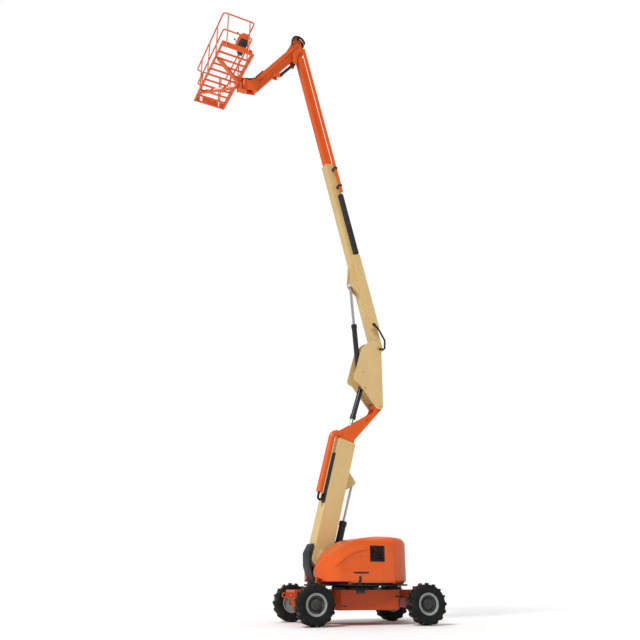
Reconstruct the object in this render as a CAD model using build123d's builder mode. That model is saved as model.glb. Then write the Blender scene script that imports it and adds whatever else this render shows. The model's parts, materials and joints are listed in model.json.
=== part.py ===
from build123d import *
import os
from math import atan2, cos, degrees, hypot, radians, sin

os.makedirs("parts", exist_ok=True)

# Millimetres. X is forward, Y is to the machine's left, Z is up.
# The origin is on the ground under the swing axis. Upper pieces are drawn
# with the turntable straight and then swung to the photographed angle.
wheelbase = 2500
overall_width = 2490
tyre_diameter = 860
tyre_width = 345
rim_diameter = 420
flange_diameter = 452
hub_diameter = 290
stub_diameter = 110
lugs_per_side = 16
lug_height = 34
lug_width = 40
lug_slant = 22
lug_overlap = 26
lug_crown = 2.4
lug_root = 14
lug_inset = 4
bead_inset = 32
bead = 24
sidewall_bulge = 110
shoulder = 20
lip_inset = 14
lip = 11
stub_reach = 20
rim_dish = 62
hub_reach = 98
kingpin_inset = 70
kingpin_diameter = 56
axle_height = tyre_diameter / 2 - lug_crown
axle_section = 200
axle_half_length = 620
steer_arm = 200
steer_arm_inset = 0

frame_bottom = 300
frame_top = 710
frame_front = 680
frame_rear = 780
frame_half_width = 780
spine_half_width = 430
spine_reach = 1530
spine_bottom = 536

swing_at_rest = 11
deck_bottom = 790
deck_top = 830
deck_radius = 1180
shelf_bottom = 880
bearing_outer = 560
bearing_inner = 430
hood_inner = 320
hood_hinge_y = 334
hood_hinge_z = 1715
hood_hinge_u = (-240, 180)
hood_outer = 1100
hood_rear = -370
hood_crown = 1815
hood_nose = 1604
hood_bend = 150
hood_tuck = 50
hood_lip = 70
crease_depth = 8
grille_at = (55, 1446)
grille_size = (380, 340)
grille_corner = 24
grille_rim = 24
grille_depth = 34
grille_slats = 7
slat_pitch = 40
handle_at = (442, 1055)
handle_size = (330, 40)
tail_radius = 1155
tail_round = 150
tail_tuck = 70
sheet = 16

tower_angle = 104.5
tower_foot = (930, 1420)
tower_length = 2730
tower_depth = 450
tower_width = 360
tower_wall = 12
tower_fly_depth = 390
tower_fly_width = 300
tower_fly_tail = 800
tower_fly_stub = 170

nose_at = (3927, 647)
nose_bend = 170
nose_boss = 105
level_eye_at = (2600, 40)
level_pin = 32
main_pivot = (-660, 6620)
upright_inner = 165
upright_plate = 25
upright_round = 84

main_angle = 75
main_offset = 90
main_length = 5460
main_depth = 260
main_width = 240
main_wall = 10
main_lug_inner = 82
fly_depth = 200
fly_width = 180
tip_reach = 9380

jib_angle = -55.3
jib_length = 2100
jib_drop = (83, -251)
jib_link_at = (-24, 320)
jib_cylinder_drop = (20, -330)
jib_eye_at = (1100, -150)
jib_depth = 150
jib_width = 120
jib_taper = 90

knuckle_plate = 22
link_plate = 15
link_depth = 100
hose_lateral = 168
hose_radius = 12
rotator_reach = 310
rotator_radius = 85
rotator_height = 340
rotator_drop = 200
spindle_radius = 30
support_plate = 25
floor_rise = 74
platform_gap = 175
platform_depth = 910
platform_width = 2440
floor_depth = 40
floor_bars = 9
floor_bar = 70
rail_height = 1080
mid_rail = 540
toe_board = 140
rail_diameter = 38
rail_bend = 70
post_at = 700
corner_post = 130

pin_play = 0.3
seat_gap = 0.2
running_gap = 5


def turned(angle, along, across, start=(0, 0)):
    # A point given along and across a member, as forward and up distances.
    a = radians(angle)
    u = start[0] + along * cos(a) - across * sin(a)
    z = start[1] + along * sin(a) + across * cos(a)
    return (u, z)


def shifted(point, offset):
    return (point[0] + offset[0], point[1] + offset[1])


nose_pivot = turned(tower_angle, *nose_at, tower_foot)
tip = turned(main_angle, tip_reach, main_offset, main_pivot)
jib_root = shifted(tip, jib_drop)
link_root = shifted(jib_root, jib_link_at)
jib_cyl_base = shifted(jib_root, jib_cylinder_drop)
jib_eye = turned(jib_angle, *jib_eye_at, jib_root)
jib_end = turned(jib_angle, jib_length, 0, jib_root)
link_end = shifted(jib_end, jib_link_at)
rotator_u = jib_end[0] + rotator_reach
floor_height = jib_end[1] + floor_rise
platform_rear = rotator_u + platform_gap


def side_plane(start, angle, left=0):
    # A sketch plane on a member: x along it, y across it, drawn from the left.
    a = radians(angle)
    return Plane(origin=(start[0], left, start[1]), x_dir=(cos(a), 0, sin(a)), z_dir=(0, -1, 0))


def save(piece, label, swung=True):
    solid = piece.rotate(Axis.Z, swing_at_rest) if swung else piece
    solid.label = label
    export_step(solid, "parts/" + label + ".step")


# The chassis: a deep box between the wheels and a spine out over both axles.
with BuildPart() as chassis_frame:
    with BuildSketch(Plane.XY.offset(frame_bottom)):
        with BuildLine():
            Polyline(
                (frame_front, frame_half_width - 90),
                (frame_front - 90, frame_half_width),
                (-frame_rear + 60, frame_half_width),
                (-frame_rear, frame_half_width - 60),
                (-frame_rear, -frame_half_width + 60),
                (-frame_rear + 60, -frame_half_width),
                (frame_front - 90, -frame_half_width),
                (frame_front, -frame_half_width + 90),
                close=True,
            )
        make_face()
    extrude(amount=frame_top - frame_bottom)
    chamfer(chassis_frame.faces().sort_by(Axis.Z)[0].edges(), 45)
    with BuildSketch(Plane.XY.offset(spine_bottom)):
        Rectangle(2 * spine_reach, 2 * spine_half_width)
    extrude(amount=frame_top - spine_bottom)
    for end in (1, -1):
        for side in (1, -1):
            with BuildSketch(Plane.XZ.offset(-side * 300 - 15)):
                with Locations((end * (spine_reach + 20), 600)):
                    Rectangle(80, 120)
                with Locations((end * (spine_reach + 60), 600)):
                    Circle(60)
                    Circle(28, mode=Mode.SUBTRACT)
            extrude(amount=30)
save(chassis_frame.part, "chassis_frame", swung=False)

with BuildPart() as swing_bearing:
    with BuildSketch(Plane.XY.offset(frame_top + 0.2)):
        Circle(bearing_outer)
        Circle(bearing_inner, mode=Mode.SUBTRACT)
    extrude(amount=49.3)
save(swing_bearing.part, "swing_bearing", swung=False)

# Axles. The front one ends in yokes round its kingpins, the rear one in stubs.
kingpin_y = overall_width / 2 - tyre_width - kingpin_inset
wheel_y = overall_width / 2 - tyre_width / 2
axle_low = axle_height - axle_section / 2
with BuildPart() as front_axle:
    with BuildSketch(Plane(origin=(wheelbase / 2, 0, axle_low))):
        Rectangle(axle_section, 2 * axle_half_length)
    extrude(amount=axle_section)
    with BuildSketch(Plane(origin=(wheelbase / 2, 0, axle_low + axle_section - 1))):
        Rectangle(axle_section - 20, 320)
    extrude(amount=spine_bottom - axle_low - axle_section + 0.7)
    for level in (axle_low - 26, axle_low + axle_section - 5):
        with BuildSketch(Plane(origin=(wheelbase / 2, 0, level))):
            for side in (1, -1):
                with Locations((0, side * (kingpin_y / 2 + axle_half_length / 2 - 30))):
                    Rectangle(120, kingpin_y - axle_half_length + 60)
                with Locations((0, side * kingpin_y)):
                    Circle(60)
        extrude(amount=31)
    for side in (1, -1):
        with BuildSketch(Plane(origin=(wheelbase / 2, side * kingpin_y, axle_low - 40))):
            Circle(kingpin_diameter / 2)
        extrude(amount=axle_section + 80)
save(front_axle.part, "front_axle", swung=False)

stub_y = wheel_y + stub_reach
with BuildPart() as rear_axle:
    with BuildSketch(Plane(origin=(-wheelbase / 2, 0, axle_low))):
        Rectangle(axle_section, 2 * (overall_width / 2 - tyre_width - 20))
    extrude(amount=axle_section)
    with BuildSketch(Plane(origin=(-wheelbase / 2, 0, axle_low + axle_section - 1))):
        Rectangle(axle_section - 20, 2 * spine_half_width)
    extrude(amount=spine_bottom - axle_low - axle_section + 0.7)
    with BuildSketch(Plane(origin=(-wheelbase / 2, stub_y, axle_height), z_dir=(0, -1, 0))):
        Circle(stub_diameter / 2)
    extrude(amount=2 * stub_y)
save(rear_axle.part, "rear_axle", swung=False)

# Steered knuckles with their arms, and the tie rod between them.
arm_level = axle_height + 10
for name, side in (("left", 1), ("right", -1)):
    pin_at = (wheelbase / 2, side * kingpin_y)
    arm_end = (pin_at[0] - steer_arm, pin_at[1] - side * steer_arm_inset)
    with BuildPart() as knuckle:
        with BuildSketch(Plane(origin=(pin_at[0], pin_at[1], axle_low + 8))):
            Circle(58)
        extrude(amount=axle_section - 16)
        with BuildSketch(Plane(origin=(pin_at[0], pin_at[1], axle_height), z_dir=(0, side, 0))):
            Circle(stub_diameter / 2)
        extrude(amount=stub_y - kingpin_y)
        with BuildSketch(Plane(origin=(0, 0, arm_level))):
            with BuildLine():
                Polyline(
                    (pin_at[0], pin_at[1] + side * 40),
                    (arm_end[0], arm_end[1] + side * 25),
                    (arm_end[0], arm_end[1] - side * 25),
                    (pin_at[0], pin_at[1] - side * 40),
                    close=True,
                )
            make_face()
            with Locations(arm_end):
                Circle(32)
        extrude(amount=25)
        with BuildSketch(Plane(origin=(pin_at[0], pin_at[1], axle_low))):
            Circle(kingpin_diameter / 2 + pin_play)
        extrude(amount=axle_section, mode=Mode.SUBTRACT)
        with BuildSketch(Plane(origin=(arm_end[0], arm_end[1], arm_level - 5))):
            Circle(12 + pin_play)
        extrude(amount=35, mode=Mode.SUBTRACT)
    save(knuckle.part, "knuckle_" + name, swung=False)

rod_y = kingpin_y - steer_arm_inset
with BuildPart() as tie_rod:
    with BuildSketch(Plane(origin=(wheelbase / 2 - steer_arm, rod_y, arm_level + 43), z_dir=(0, -1, 0))):
        Circle(16)
    extrude(amount=2 * rod_y)
    for side in (1, -1):
        with BuildSketch(Plane(origin=(wheelbase / 2 - steer_arm, side * rod_y, arm_level + 26))):
            Circle(28)
        extrude(amount=34)
        with BuildSketch(Plane(origin=(wheelbase / 2 - steer_arm, side * rod_y, arm_level - 8))):
            Circle(12)
        extrude(amount=40)
save(tie_rod.part, "tie_rod", swung=False)

# Wheels: a carcass with a faceted crown, slanted lugs in two staggered rows, and a dished rim.
tyre_radius = tyre_diameter / 2
rim_radius = rim_diameter / 2
half_tread = tyre_width / 2
crown_radius = tyre_radius - lug_height
lug_pitch = 360 / (2 * lugs_per_side)
spin = Axis.Y
section = Plane(origin=(0, 0, 0), x_dir=(0, 1, 0), z_dir=(1, 0, 0))
with BuildPart() as tyre:
    for across, radius in (
        (-half_tread + bead_inset, rim_radius + bead),
        (-half_tread, rim_radius + sidewall_bulge),
        (-half_tread + shoulder, crown_radius),
        (half_tread - shoulder, crown_radius),
        (half_tread, rim_radius + sidewall_bulge),
        (half_tread - bead_inset, rim_radius + bead),
    ):
        with BuildSketch(Plane(origin=(0, across, 0), x_dir=(1, 0, 0), z_dir=(0, 1, 0))):
            RegularPolygon(radius, 2 * lugs_per_side, major_radius=False, rotation=lug_pitch / 2)
    loft(ruled=True)
    with BuildSketch(Plane(origin=(0, -half_tread, 0), x_dir=(1, 0, 0), z_dir=(0, 1, 0))):
        Circle(rim_radius + seat_gap)
    extrude(amount=tyre_width, mode=Mode.SUBTRACT)
    for step in range(2 * lugs_per_side):
        turn = radians(step * lug_pitch)
        row = 1 if step % 2 else -1
        out = (sin(turn), 0, -cos(turn))
        foot = tuple(part * (crown_radius - lug_root) for part in out)
        with BuildSketch(Plane(origin=foot, x_dir=(0, row, 0), z_dir=out)):
            with BuildLine():
                Polyline(
                    (-lug_overlap, -lug_width / 2 - lug_slant),
                    (-lug_overlap, lug_width / 2 - lug_slant),
                    (half_tread - lug_inset, lug_width / 2 + lug_slant),
                    (half_tread - lug_inset, -lug_width / 2 + lug_slant),
                    close=True,
                )
            make_face()
        extrude(amount=lug_height + lug_root - lug_crown)
with BuildPart() as rim:
    with BuildSketch(section):
        with BuildLine():
            Polyline(
                (-half_tread + lip_inset, stub_diameter / 2 + pin_play),
                (-half_tread + lip_inset, flange_diameter / 2),
                (-half_tread + lip_inset + lip, flange_diameter / 2),
                (-half_tread + lip_inset + lip, rim_radius),
                (half_tread - lip_inset - lip, rim_radius),
                (half_tread - lip_inset - lip, flange_diameter / 2),
                (half_tread - lip_inset, flange_diameter / 2),
                (half_tread - lip_inset - 8, rim_radius - lip_inset),
                (rim_dish, hub_diameter / 2 + 6),
                (rim_dish, hub_diameter / 2),
                (hub_reach, hub_diameter / 2 - 16),
                (hub_reach, 0),
                (stub_reach + running_gap, 0),
                (stub_reach + running_gap, stub_diameter / 2 + pin_play),
                close=True,
            )
        make_face()
    revolve(axis=spin)
for name, end, side in (
    ("front_left", 1, 1),
    ("front_right", 1, -1),
    ("rear_left", -1, 1),
    ("rear_right", -1, -1),
):
    corner = Location((end * wheelbase / 2, side * wheel_y, axle_height), (0, 0, 0 if side > 0 else 180))
    save(tyre.part.moved(corner), "tyre_" + name, swung=False)
    save(rim.part.moved(corner), "rim_" + name, swung=False)

# The turntable deck with its bearing ring and the cheeks that hold the tower.
cheek_inner = tower_width / 2 + 10
cheek_plate = 30
tower_cyl_base = (620, 1020)
with BuildPart() as turntable_deck:
    with BuildSketch(Plane.XY.offset(deck_bottom)):
        Circle(deck_radius)
        Rectangle(2 * deck_radius, 2080, mode=Mode.INTERSECT)
        with Locations((hood_rear - 800 + 3 * deck_radius, 0)):
            Rectangle(6 * deck_radius, 3000, mode=Mode.INTERSECT)
    extrude(amount=deck_top - deck_bottom)
    for side in (1, -1):
        with BuildSketch(Plane(origin=(0, side * 680, shelf_bottom - 52))):
            with Locations((500, 0)):
                Rectangle(400, 600)
        extrude(amount=53)
        with BuildSketch(Plane.XY.offset(shelf_bottom)):
            with BuildLine():
                Polyline(
                    (300, side * (hood_inner + 40)), (300, side * (hood_outer - 140)),
                    (1060, side * (hood_outer - 140)), (1320, side * (hood_outer - 270)),
                    (1320, side * (hood_inner + 40)), close=True,
                )
            make_face()
        extrude(amount=25)
    with BuildSketch(Plane.XY.offset(frame_top + 50)):
        Circle(bearing_outer - 20)
        Circle(bearing_inner, mode=Mode.SUBTRACT)
    extrude(amount=deck_bottom - frame_top - 49)
    for side in (1, -1):
        with BuildSketch(side_plane((0, 0), 0, side * hood_hinge_y + 6)):
            with BuildLine():
                Polyline(
                    (hood_rear + 30, deck_top - 1),
                    (hood_rear + 30, hood_hinge_z - 30), (260, hood_hinge_z - 30),
                    (830, 1610), (1400, 1270), (1400, shelf_bottom + 10), (1100, shelf_bottom + 10),
                    (1100, deck_top - 1), close=True,
                )
            make_face()
            for along in hood_hinge_u:
                with Locations((along, hood_hinge_z - 20)):
                    Rectangle(40, 60)
        extrude(amount=12)
        for along in hood_hinge_u:
            with BuildSketch(Plane(origin=(along - 70, side * hood_hinge_y, hood_hinge_z), z_dir=(1, 0, 0))):
                Circle(12)
            extrude(amount=140)
    for left in (cheek_inner + cheek_plate, -cheek_inner):
        with BuildSketch(Plane(origin=(0, left, 0), x_dir=(1, 0, 0), z_dir=(0, -1, 0))):
            with BuildLine():
                Polyline(
                    (1130, deck_top - 5),
                    (tower_foot[0] + 130, tower_foot[1]),
                    (tower_foot[0] + 60, tower_foot[1] + 130),
                    (tower_foot[0] - 60, tower_foot[1] + 130),
                    (tower_cyl_base[0] - 160, tower_cyl_base[1] + 60),
                    (300, deck_top - 5),
                    close=True,
                )
            make_face()
        extrude(amount=cheek_plate)
    for point, radius in ((tower_foot, 45), (tower_cyl_base, 40)):
        with BuildSketch(side_plane(point, 0, cheek_inner + cheek_plate + 12)):
            Circle(radius)
        extrude(amount=2 * (cheek_inner + cheek_plate + 12))
save(turntable_deck.part, "turntable_deck")

# The counterweight wraps the tail and leaves a slot for the stowed tower.
with BuildPart() as counterweight:
    with BuildSketch(Plane.XY.offset(deck_top + 0.2)):
        Circle(tail_radius)
        with Locations((hood_rear - 6 + 1500, 0)):
            Rectangle(3000, 3000, mode=Mode.SUBTRACT)
        with Locations((0, hood_outer + 500)):
            Rectangle(4000, 1000, mode=Mode.SUBTRACT)
        with Locations((0, -hood_outer - 500)):
            Rectangle(4000, 1000, mode=Mode.SUBTRACT)
    extrude(amount=hood_crown - deck_top - 5)
    tail = counterweight.edges().filter_by(GeomType.CIRCLE)
    fillet(tail.sort_by(Axis.Z)[-1], tail_round)
    chamfer(tail.sort_by(Axis.Z)[0], tail_tuck)
    with BuildSketch(Plane.XY.offset(deck_top + 45)):
        Rectangle(4 * tail_radius, 2 * hood_inner)
    extrude(amount=hood_crown, mode=Mode.SUBTRACT)
save(counterweight.part, "counterweight")

with BuildPart() as engine_block:
    with BuildSketch(Plane(origin=(-20, -690, deck_top + 0.2))):
        Rectangle(600, 480)
    extrude(amount=700)
save(engine_block.part, "engine_block")

with BuildPart() as hydraulic_tank:
    with BuildSketch(Plane(origin=(-20, 690, deck_top + 0.2))):
        Rectangle(600, 480)
    extrude(amount=560)
save(hydraulic_tank.part, "hydraulic_tank")

with BuildPart() as foot_guard:
    with BuildSketch(Plane(origin=(0, 170, 0), x_dir=(1, 0, 0), z_dir=(0, -1, 0))):
        with BuildLine():
            FilletPolyline(
                (1120, deck_top + seat_gap), (1160, deck_top + seat_gap),
                (1440, 1180), (1450, 1520), (1250, 1645),
                (1235, 1612), (1410, 1490), (1400, 1195), radius=14, close=True,
            )
        make_face()
    extrude(amount=340)
save(foot_guard.part, "foot_guard")

# Hoods: hollow shells, egg-shaped from the side and from above, that lift about their inner top edges.
# Each is the common solid of a side outline, a plan outline and a cross-section, less its own inside.
hood_foot = deck_top + 6
hood_forms = []
for trim, opening in ((0, 0), (sheet, 60)):
    foot = hood_foot - opening
    shelf = shelf_bottom - opening
    rear = hood_rear + trim
    outer = hood_outer - trim
    crown = hood_crown - trim
    nose = hood_nose - trim
    with BuildPart() as form:
        with BuildSketch(Plane(origin=(0, hood_outer, 0), x_dir=(1, 0, 0), z_dir=(0, -1, 0))):
            with BuildLine():
                ThreePointArc((rear, crown - 6), (400, crown - 52), (nose - 400, crown - 310))
                ThreePointArc((nose - 400, crown - 310), (nose - 160, crown - 500), (nose - 20, crown - 690))
                ThreePointArc((nose - 20, crown - 690), (nose, crown - 760), (nose - 40, crown - 850))
                Polyline(
                    (nose - 40, crown - 850), (nose - 180, shelf),
                    (760, shelf), (600, foot), (rear, foot),
                )
                Line((rear, foot), (rear, crown - 6))
            make_face()
        extrude(amount=hood_outer - hood_inner + opening)
        with BuildSketch(Plane.XY.offset(foot - 10)):
            with BuildLine():
                Polyline(
                    (nose + 10, 0), (rear - 10, 0), (rear - 10, outer + 10),
                    (850, outer + 10), (850, outer),
                )
                ThreePointArc((850, outer), (nose - 270, outer - 112), (nose - 10, outer - 460))
                Polyline((nose - 10, outer - 460), (nose + 10, outer - 520), (nose + 10, 0))
            make_face()
        extrude(amount=hood_crown, mode=Mode.INTERSECT)
        with BuildSketch(Plane(origin=(rear - 20, 0, 0), x_dir=(0, 1, 0), z_dir=(1, 0, 0))):
            with BuildLine():
                RadiusArc((outer, crown - hood_bend), (outer - hood_bend, crown), -hood_bend)
                Polyline(
                    (outer - hood_bend, crown), (0, crown + 20),
                    (0, foot - 20), (outer - hood_tuck - 20, foot - 20),
                )
                Polyline(
                    (outer - hood_tuck - 20, foot - 20),
                    (outer, hood_foot + hood_lip), (outer, crown - hood_bend),
                )
            make_face()
        extrude(amount=nose - rear + 40, mode=Mode.INTERSECT)
    hood_forms.append(form.part)
with BuildPart() as hood:
    add(hood_forms[0])
    add(hood_forms[1], mode=Mode.SUBTRACT)
    with BuildSketch(Plane(origin=(0, hood_outer + 1, 0), x_dir=(1, 0, 0), z_dir=(0, -1, 0))):
        with Locations(grille_at):
            RectangleRounded(*grille_size, grille_corner)
    extrude(amount=4 * sheet, mode=Mode.SUBTRACT)
    with BuildSketch(Plane(origin=(0, hood_outer + 1, 0), x_dir=(1, 0, 0), z_dir=(0, -1, 0))):
        with Locations(handle_at):
            SlotOverall(*handle_size)
        with BuildLine():
            ThreePointArc((1180, 1110), (760, 1310), (270, 1400))
            Line((270, 1400), (270, 1130))
            ThreePointArc((270, 1130), (720, 1112), (1180, 1110))
        make_face()
    extrude(amount=crease_depth + 1, mode=Mode.SUBTRACT)
    for along in hood_hinge_u:
        for start in (along - 62, along + 26):
            with BuildSketch(
                Plane(origin=(start, hood_hinge_y, hood_hinge_z), z_dir=(1, 0, 0), x_dir=(0, 1, 0)),
            ):
                with Locations((0, 60)):
                    Rectangle(24, 120)
                Circle(22)
                Circle(12 + pin_play, mode=Mode.SUBTRACT)
            extrude(amount=36)
    add(hood_forms[0], mode=Mode.INTERSECT)
with BuildPart() as hood_grille:
    with BuildSketch(Plane(origin=(0, hood_outer - 6, 0), x_dir=(1, 0, 0), z_dir=(0, -1, 0))):
        with Locations(grille_at):
            RectangleRounded(grille_size[0] - 2 * seat_gap, grille_size[1] - 2 * seat_gap, grille_corner)
            RectangleRounded(
                grille_size[0] - 2 * grille_rim, grille_size[1] - 2 * grille_rim, 8, mode=Mode.SUBTRACT,
            )
    extrude(amount=grille_depth)
    slat_start = grille_at[0] - grille_size[0] / 2 + grille_rim - 2
    with BuildSketch(
        Plane(origin=(slat_start, hood_outer - 9, grille_at[1]), x_dir=(0, 1, 0), z_dir=(1, 0, 0)),
    ):
        with GridLocations(0, slat_pitch, 1, grille_slats):
            with Locations((-grille_depth / 2 + 4, 0)):
                Rectangle(grille_depth - 6, 7, rotation=-35)
    extrude(amount=grille_size[0] - 2 * grille_rim + 4)
for name, piece in (("hood", hood.part), ("hood_grille", hood_grille.part)):
    save(piece, name + "_left")
    save(piece.mirror(Plane.XZ), name + "_right")

# Tower: a deep box beam on the turntable and a fly with a bent nose inside it.
tower_eye = turned(tower_angle, 1849, 441, tower_foot)
with BuildPart() as tower_base:
    with BuildSketch(side_plane(tower_foot, tower_angle)):
        with Locations((tower_length / 2 - 75, 0)):
            Rectangle(tower_length + 150, tower_depth)
    extrude(amount=tower_width / 2, both=True)
    with BuildSketch(side_plane(tower_foot, tower_angle)):
        with Locations((tower_length / 2 + 200, 0)):
            Rectangle(tower_length, tower_depth - 2 * tower_wall)
    extrude(amount=tower_width / 2 - tower_wall, both=True, mode=Mode.SUBTRACT)
    with BuildSketch(side_plane(tower_foot, tower_angle)):
        with Locations((tower_length - 60, 0)):
            Rectangle(120, tower_depth - 1)
    extrude(amount=tower_width / 2 - 1, both=True)
    with BuildSketch(side_plane(tower_foot, tower_angle)):
        with Locations((tower_length, 0)):
            Rectangle(600, tower_fly_depth + 2 * pin_play)
    extrude(amount=tower_fly_width / 2 + pin_play, both=True, mode=Mode.SUBTRACT)
    with BuildSketch(side_plane(tower_foot, tower_angle)):
        Circle(45 + pin_play)
    extrude(amount=tower_width, both=True, mode=Mode.SUBTRACT)
    for left in (68, -43):
        with BuildSketch(side_plane(tower_foot, tower_angle, left)):
            with BuildLine():
                Polyline((1560, 220), (1790, 480), (1870, 500), (1920, 440), (2080, 220), close=True)
            make_face()
        extrude(amount=25)
save(tower_base.part, "tower_base")

with BuildPart() as tower_hose_track:
    with BuildSketch(side_plane(tower_foot, tower_angle, 160)):
        with BuildLine():
            Polyline((1150, -225.2), (2350, -225.2), (2350, -260), (1150, -260), close=True)
        make_face()
    extrude(amount=130)
save(tower_hose_track.part, "tower_hose_track")

fly_end = tower_length + tower_fly_stub
fly_middle = (tower_fly_tail + fly_end) / 2
with BuildPart() as tower_fly:
    with BuildSketch(side_plane(tower_foot, tower_angle)):
        with Locations((fly_middle, 0)):
            Rectangle(fly_end - tower_fly_tail, tower_fly_depth)
    extrude(amount=tower_fly_width / 2, both=True)
    for left in (tower_fly_width / 2, -tower_fly_width / 2 + 20):
        with BuildSketch(side_plane(tower_foot, tower_angle, left)):
            with BuildLine():
                front = Line(
                    (tower_length - 30, -tower_fly_depth / 2), (tower_length + 150, -tower_fly_depth / 2),
                )
                bend = JernArc(front @ 1, front % 1, nose_bend, 44)
                rise = Line(bend @ 1, shifted(nose_at, (-290, -150)))
                crest = JernArc(rise @ 1, rise % 1, nose_bend, -34)
                Polyline(
                    crest @ 1,
                    shifted(nose_at, (60, -70)),
                    shifted(nose_at, (40, 90)),
                    shifted(nose_at, (-80, 105)),
                    (tower_length + 100, tower_fly_depth / 2),
                    (tower_length - 30, tower_fly_depth / 2),
                    front @ 0,
                )
            make_face()
            with Locations(nose_at):
                Circle(nose_boss)
            with Locations(shifted(nose_at, (-480, -200))):
                SlotOverall(190, 76, rotation=38, mode=Mode.SUBTRACT)
        extrude(amount=20)
    with BuildSketch(side_plane(tower_foot, tower_angle)):
        with BuildLine():
            Polyline(
                shifted(nose_at, (-140, 70)),
                (tower_length + 100, tower_fly_depth / 2),
                (tower_length + 110, tower_fly_depth / 2 - 22),
                shifted(nose_at, (-130, 48)),
                close=True,
            )
        make_face()
    extrude(amount=tower_fly_width / 2 - 10, both=True)
    with BuildSketch(side_plane(tower_foot, tower_angle)):
        with Locations((fly_middle + 50, 0)):
            Rectangle(fly_end - tower_fly_tail + 300, tower_fly_depth - 24)
    extrude(amount=tower_fly_width / 2 - 20, both=True, mode=Mode.SUBTRACT)
    with BuildSketch(side_plane(nose_pivot, 0)):
        Circle(nose_boss)
    extrude(amount=tower_fly_width / 2, both=True)
    with BuildSketch(side_plane(nose_pivot, 0)):
        Circle(40 + pin_play)
    extrude(amount=tower_fly_width, both=True, mode=Mode.SUBTRACT)
save(tower_fly.part, "tower_fly")

tube_side = 100
tube_across = -400
with BuildPart() as tower_hose_tube:
    with BuildLine(side_plane(tower_foot, tower_angle, tube_side)) as tube_path:
        FilletPolyline((2850, -195.2), (2850, tube_across), (1345, tube_across), radius=150)
    with BuildSketch(Plane(origin=tube_path.line @ 0, z_dir=tube_path.line % 0)):
        Circle(75)
    sweep(path=tube_path.line)
save(tower_hose_tube.part, "tower_hose_tube")

with BuildPart() as tower_hose_loop:
    with BuildLine(side_plane(tower_foot, tower_angle, tube_side)) as loop_path:
        Line((1344.8, tube_across), (1240, tube_across))
        ThreePointArc((1240, tube_across), (1186, -346), (1240, -292))
        Line((1240, -292), (1340, -292))
    with BuildSketch(Plane(origin=loop_path.line @ 0, z_dir=loop_path.line % 0)):
        Circle(26)
    sweep(path=loop_path.line)
save(tower_hose_loop.part, "tower_hose_loop")


# A hydraulic cylinder drawn at its rest length, as a barrel and a rod.
# The rod's eye carries its own short pin, because that is where the linkage is open.
def ram(
    label, base, eye, barrel_length, rod_length, barrel_radius,
    rod_radius, pin_radius, base_half, eye_half,
):
    angle = degrees(atan2(eye[1] - base[1], eye[0] - base[0]))
    length = hypot(eye[0] - base[0], eye[1] - base[1])
    foot = Plane(origin=(base[0], 0, base[1]), z_dir=(cos(radians(angle)), 0, sin(radians(angle))))
    with BuildPart() as barrel:
        with BuildSketch(foot.offset(pin_radius)):
            Circle(barrel_radius)
        extrude(amount=barrel_length - pin_radius)
        with BuildSketch(foot.offset(barrel_length - 90)):
            Circle(barrel_radius + 10)
        extrude(amount=90)
        with BuildSketch(side_plane(base, angle)):
            Circle(pin_radius + 32)
        extrude(amount=base_half, both=True)
        with BuildSketch(side_plane(base, angle)):
            Circle(pin_radius + pin_play)
        extrude(amount=2 * base_half, both=True, mode=Mode.SUBTRACT)
        with BuildSketch(foot.offset(pin_radius + 40)):
            Circle(rod_radius + pin_play)
        extrude(amount=barrel_length, mode=Mode.SUBTRACT)
    save(barrel.part, label + "_barrel")
    with BuildPart() as rod:
        with BuildSketch(foot.offset(length - rod_length)):
            Circle(rod_radius)
        extrude(amount=rod_length)
        with BuildSketch(side_plane(eye, angle)):
            Circle(pin_radius + 22)
        extrude(amount=eye_half, both=True)
    save(rod.part, label + "_rod")


ram("tower_cylinder", tower_cyl_base, tower_eye, 1210, 1420, 82, 30, 40, 40, 40)

# The upright: two plates that stay level between the tower's nose and the main boom.
level_base = (-260, 5489)
level_eye = turned(tower_angle, *level_eye_at, tower_foot)
main_cyl_base = (-200, 5900)
main_eye = turned(main_angle, 1842, -190, main_pivot)
with BuildPart() as upright:
    for left in (upright_inner + upright_plate, -upright_inner):
        with BuildSketch(side_plane((0, 0), 0, left)):
            with BuildLine():
                FilletPolyline(
                    shifted(main_pivot, (-135, 150)),
                    shifted(main_pivot, (180, 150)),
                    shifted(main_pivot, (450, -95)),
                    shifted(level_base, (318, 130)),
                    shifted(level_base, (165, 75)),
                    shifted(nose_pivot, (70, -108)),
                    shifted(nose_pivot, (-112, -108)),
                    radius=upright_round,
                    close=True,
                )
            make_face()
        extrude(amount=upright_plate)
    with BuildSketch(side_plane(shifted(nose_pivot, (-92, 270)), 0)):
        Rectangle(24, main_pivot[1] - nose_pivot[1] - 590, align=(Align.CENTER, Align.MIN))
    extrude(amount=upright_inner + 1, both=True)
    for point, radius in ((nose_pivot, 40), (main_pivot, 40), (level_base, level_pin), (main_cyl_base, 36)):
        with BuildSketch(side_plane(point, 0, upright_inner + upright_plate + 14)):
            Circle(radius)
        extrude(amount=2 * (upright_inner + upright_plate + 14))
save(upright.part, "upright")

ram("level_cylinder", level_base, level_eye, 860, 845, 64, 36, level_pin, 40, 40)
ram("main_cylinder", main_cyl_base, main_eye, 1300, 1290, 66, 36, 36, 42, main_lug_inner - 4)

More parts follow.
